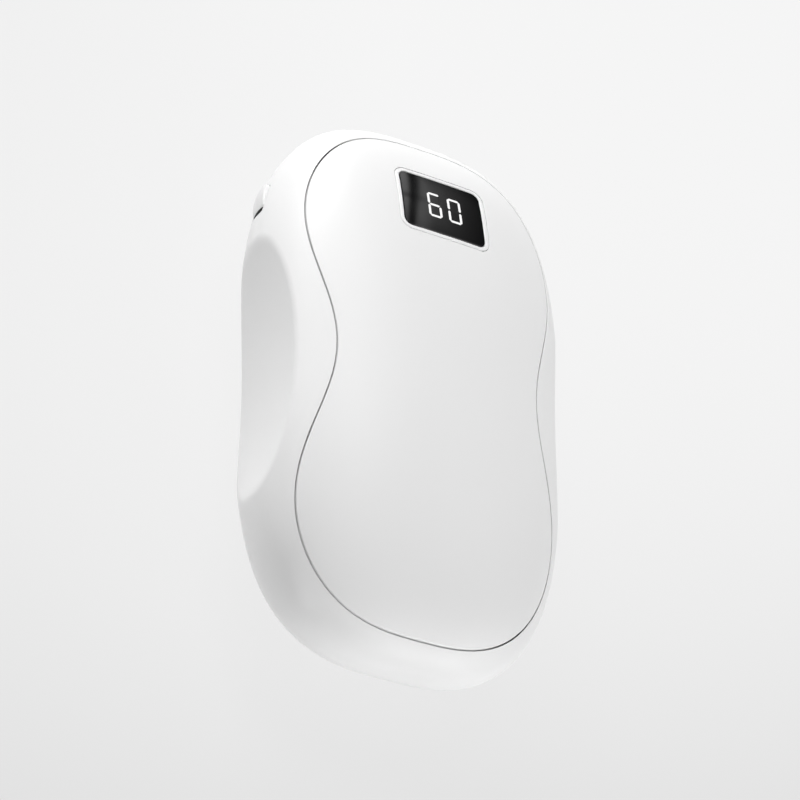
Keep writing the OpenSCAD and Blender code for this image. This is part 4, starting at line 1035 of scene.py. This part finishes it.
tongue_back = usb_front - usb_l + usb_t + mount_gap
contacts = repeat_tree("contact_rows", {
    "Count": 12, "Pitch": contact_pitch * MM, "Row Gap": (tongue_t + contact_t) * MM, "Width": contact_w * MM,
    "Length": contact_l * MM, "Thickness": contact_t * MM, "Place Z": mid_z * MM,
    "Place Y": (tongue_back + tongue_root_l + 0.2 + contact_l / 2) * MM}, contact_rows)
repeated("socket_contacts", contacts, "gold", "usb_contacts")

board_top = usb_h / 2 + mount_gap + board_t
ear_top = lug_top + mount_gap + ear_t
screws = repeat_tree("screw_pair", {
    "Head Radius": head_r * MM, "Head Height": head_h * MM, "Shank Radius": (screw_r - mount_gap) * MM,
    "Shank Length": 0.006, "Place X": 0.014, "Place Y": 0.0, "Seat Z": 0.0}, screw_pair)
for name, node, lug, seat in (("board_screw_pair", "board_screws", upper_lug, board_top + mount_gap),
                              ("tray_screw_pair", "tray_screws", lower_lug, ear_top + mount_gap)):
    repeated(name, screws, "steel", node, **{
        "Shank Length": (seat - lug_top + screw_bite) * MM, "Place X": lug[0] * MM, "Place Y": lug[1] * MM,
        "Seat Z": (seat + mid_z) * MM})


# Camera, at the photograph's angle
def camera():
    azimuth, elevation, roll, distance, sensor = 0.537, 0.520, 0.004, 607.4, 36.0
    # In pixels of the photograph: its side, the focal length and where the middle lies
    side, focal, aside, above = 800, 3664.0, 0.55, 2.8
    back = Vector((-math.sin(azimuth) * math.cos(elevation), -math.sin(elevation),
                   math.cos(azimuth) * math.cos(elevation)))
    right = Vector((0, 1, 0)).cross(back).normalized()
    up = back.cross(right)
    c, s = math.cos(roll), math.sin(roll)
    right, up = right * c + up * s, up * c - right * s
    data = bpy.data.cameras.new("camera")
    data.sensor_width, data.lens = sensor, focal / side * sensor
    data.shift_x, data.shift_y = aside / side, above / side
    data.clip_start, data.clip_end = 0.05, 20
    eye = put("camera", data)
    turned = Matrix((right, up, back)).transposed().to_4x4()
    eye.matrix_world = Matrix.Translation(Vector((0, 0, mid_z * MM)) + back * distance * MM) @ turned
    scene.camera = eye


camera()


# Floor, world and lamps
def seen_ray(t):
    """1 for rays that only look at the surroundings, 0 for those that light the object."""
    kinds = [t.node("ShaderNodeLightPath", None, None, kind)
             for kind in ("Is Camera Ray", "Is Glossy Ray", "Is Transmission Ray")]
    return kinds[0].math("MAXIMUM", kinds[1].math("MAXIMUM", kinds[2]))


def floor():
    reach, height = 3.0, -0.00002
    mesh = bpy.data.meshes.new("floor")
    corners = [(reach * x, reach * y, height) for x, y in ((-1, -1), (1, -1), (1, 1), (-1, 1))]
    mesh.from_pydata(corners, [], [(0, 1, 2, 3)])
    plane = put("floor", mesh)
    made = bpy.data.materials.new("pale_floor")
    t = emptied(made)
    place = t.node("ShaderNodeTexCoord", None, None, "Object")
    cloud = t.noise(place, 3.0)
    paint = t.node("ShaderNodeBsdfDiffuse", None, {"Color": t.mix(cloud, grey(0.8), grey(0.82))})
    # The paper carries a painted light falloff: it is palest beyond the display end and falls off softly
    # towards the viewer, and a little towards the left
    palest, painted_falloff_near, painted_falloff_left, paper_share = 0.922, 0.14, 0.04, 0.94
    x, y, _ = t.parts(place)
    nearer = (x * 2.14 - y * 7.43 + 0.482).math("MAXIMUM", 0.0).math("MINIMUM", 1.2)
    leftward = (0.1125 - x * 13).math("MAXIMUM", 0.0).math("MINIMUM", 1.0)
    tone = palest - nearer**2.2 * painted_falloff_near - leftward**1.5 * painted_falloff_left
    paper = t.node("ShaderNodeEmission", None, {"Color": tone, "Strength": 1.0})
    seen = seen_ray(t) * paper_share
    surface = t.node("ShaderNodeMixShader", None, {0: seen, 1: paint, 2: paper})
    t.node("ShaderNodeOutputMaterial", None, {"Surface": surface})
    mesh.materials.append(made)


def world():
    """Pale studio. In reflections a softbox with a dark post and rail hangs beyond the display's
    right, and a dark curtain hangs beside it; directions are in degrees."""
    made = bpy.data.worlds.new("studio")
    scene.world = made
    t = emptied(made)
    x, y, z = t.parts(t.node("ShaderNodeTexCoord", None, None, "Generated"))
    azimuth, elevation = y.math("ARCTAN2", x) * (180 / math.pi), z.math("ARCSINE") * (180 / math.pi)
    shines = ((0.18, 0.1), (0.43, 0.22), (0.59, 0.38), (0.64, 0.52), (0.67, 1.05), (0.71, 1.35), (1.0, 1.75))
    glow_lean, glow_from, glow_span = 0.28, 59, 14
    glow = t.node("ShaderNodeValToRGB", {"stops": [(at, grey(shine / 2)) for at, shine in shines]},
                  {"Fac": (azimuth + elevation * glow_lean - glow_from) / glow_span}) * 2
    post_lean, post_at, post_dark, rail_height, rail_rise, rail_dark = 0.18, 67.8, 0.97, 27.5, 0.6, 0.55
    across = azimuth + elevation * post_lean
    post = 1 - t.step(abs(across - post_at), 0.45, 1.2)
    off_rail = abs(elevation - rail_height - (azimuth - 63) * rail_rise)
    rail = (1 - t.step(off_rail, 0.3, 1.3)) * t.step(across, 65.0, 68.0)
    ends = (0.5 + t.step(elevation, 13, 21) * 0.5) * (1 - t.step(elevation, 30, 37) * 0.4)
    box = glow * ends * (1 - post * post_dark) * (1 - rail * rail_dark)
    between_sides = t.step(azimuth, 36, 42) * (1 - t.step(azimuth, 72, 76))
    between_ends = t.step(elevation, 4, 10) * (1 - t.step(elevation, 44, 50))
    inside = between_sides * between_ends * t.node("ShaderNodeLightPath", None, None, "Is Glossy Ray")
    diffuse_light, pale = 0.03, 0.86
    light = t.node("ShaderNodeBackground", None, {"Color": (1, 1, 1, 1), "Strength": diffuse_light})
    tone = box * inside + (1 - inside) * pale
    paper = t.node("ShaderNodeBackground", None, {"Color": tone, "Strength": 1.0})
    surface = t.node("ShaderNodeMixShader", None, {0: seen_ray(t), 1: light, 2: paper})
    t.node("ShaderNodeOutputWorld", None, {"Surface": surface})


def lamp(name, azimuth, elevation, power, size):
    """Softbox that faces the hand warmer; azimuth 0 stands on the +X side, 90 beyond the display."""
    distance = 0.9
    data = bpy.data.lights.new(name, "AREA")
    data.shape, data.size, data.energy = "DISK", size, power
    a, e = math.radians(azimuth), math.radians(elevation)
    way = Vector((math.cos(a) * math.cos(e), math.sin(a) * math.cos(e), math.sin(e)))
    put(name, data).matrix_world = (Matrix.Translation(Vector((0, 0, mid_z * MM)) + way * distance)
                                    @ way.to_track_quat("Z", "Y").to_matrix().to_4x4())


floor()
world()
# Name, azimuth, elevation, power in watts and width in metres
for row in (("key_left_high", 120, 35, 4.5, 0.7),
            ("key_beyond_display", 105, 20, 3.6, 0.3),
            ("fill_right", 315, 30, 3.6, 0.7),
            ("strip_lower_right", 300, 10, 2.29, 0.3),
            ("strip_lower_left", 225, 10, 1.66, 0.3),
            ("top", 90, 60, 1.7, 0.3)):
    lamp(*row)
scene.view_settings.view_transform = "Standard"
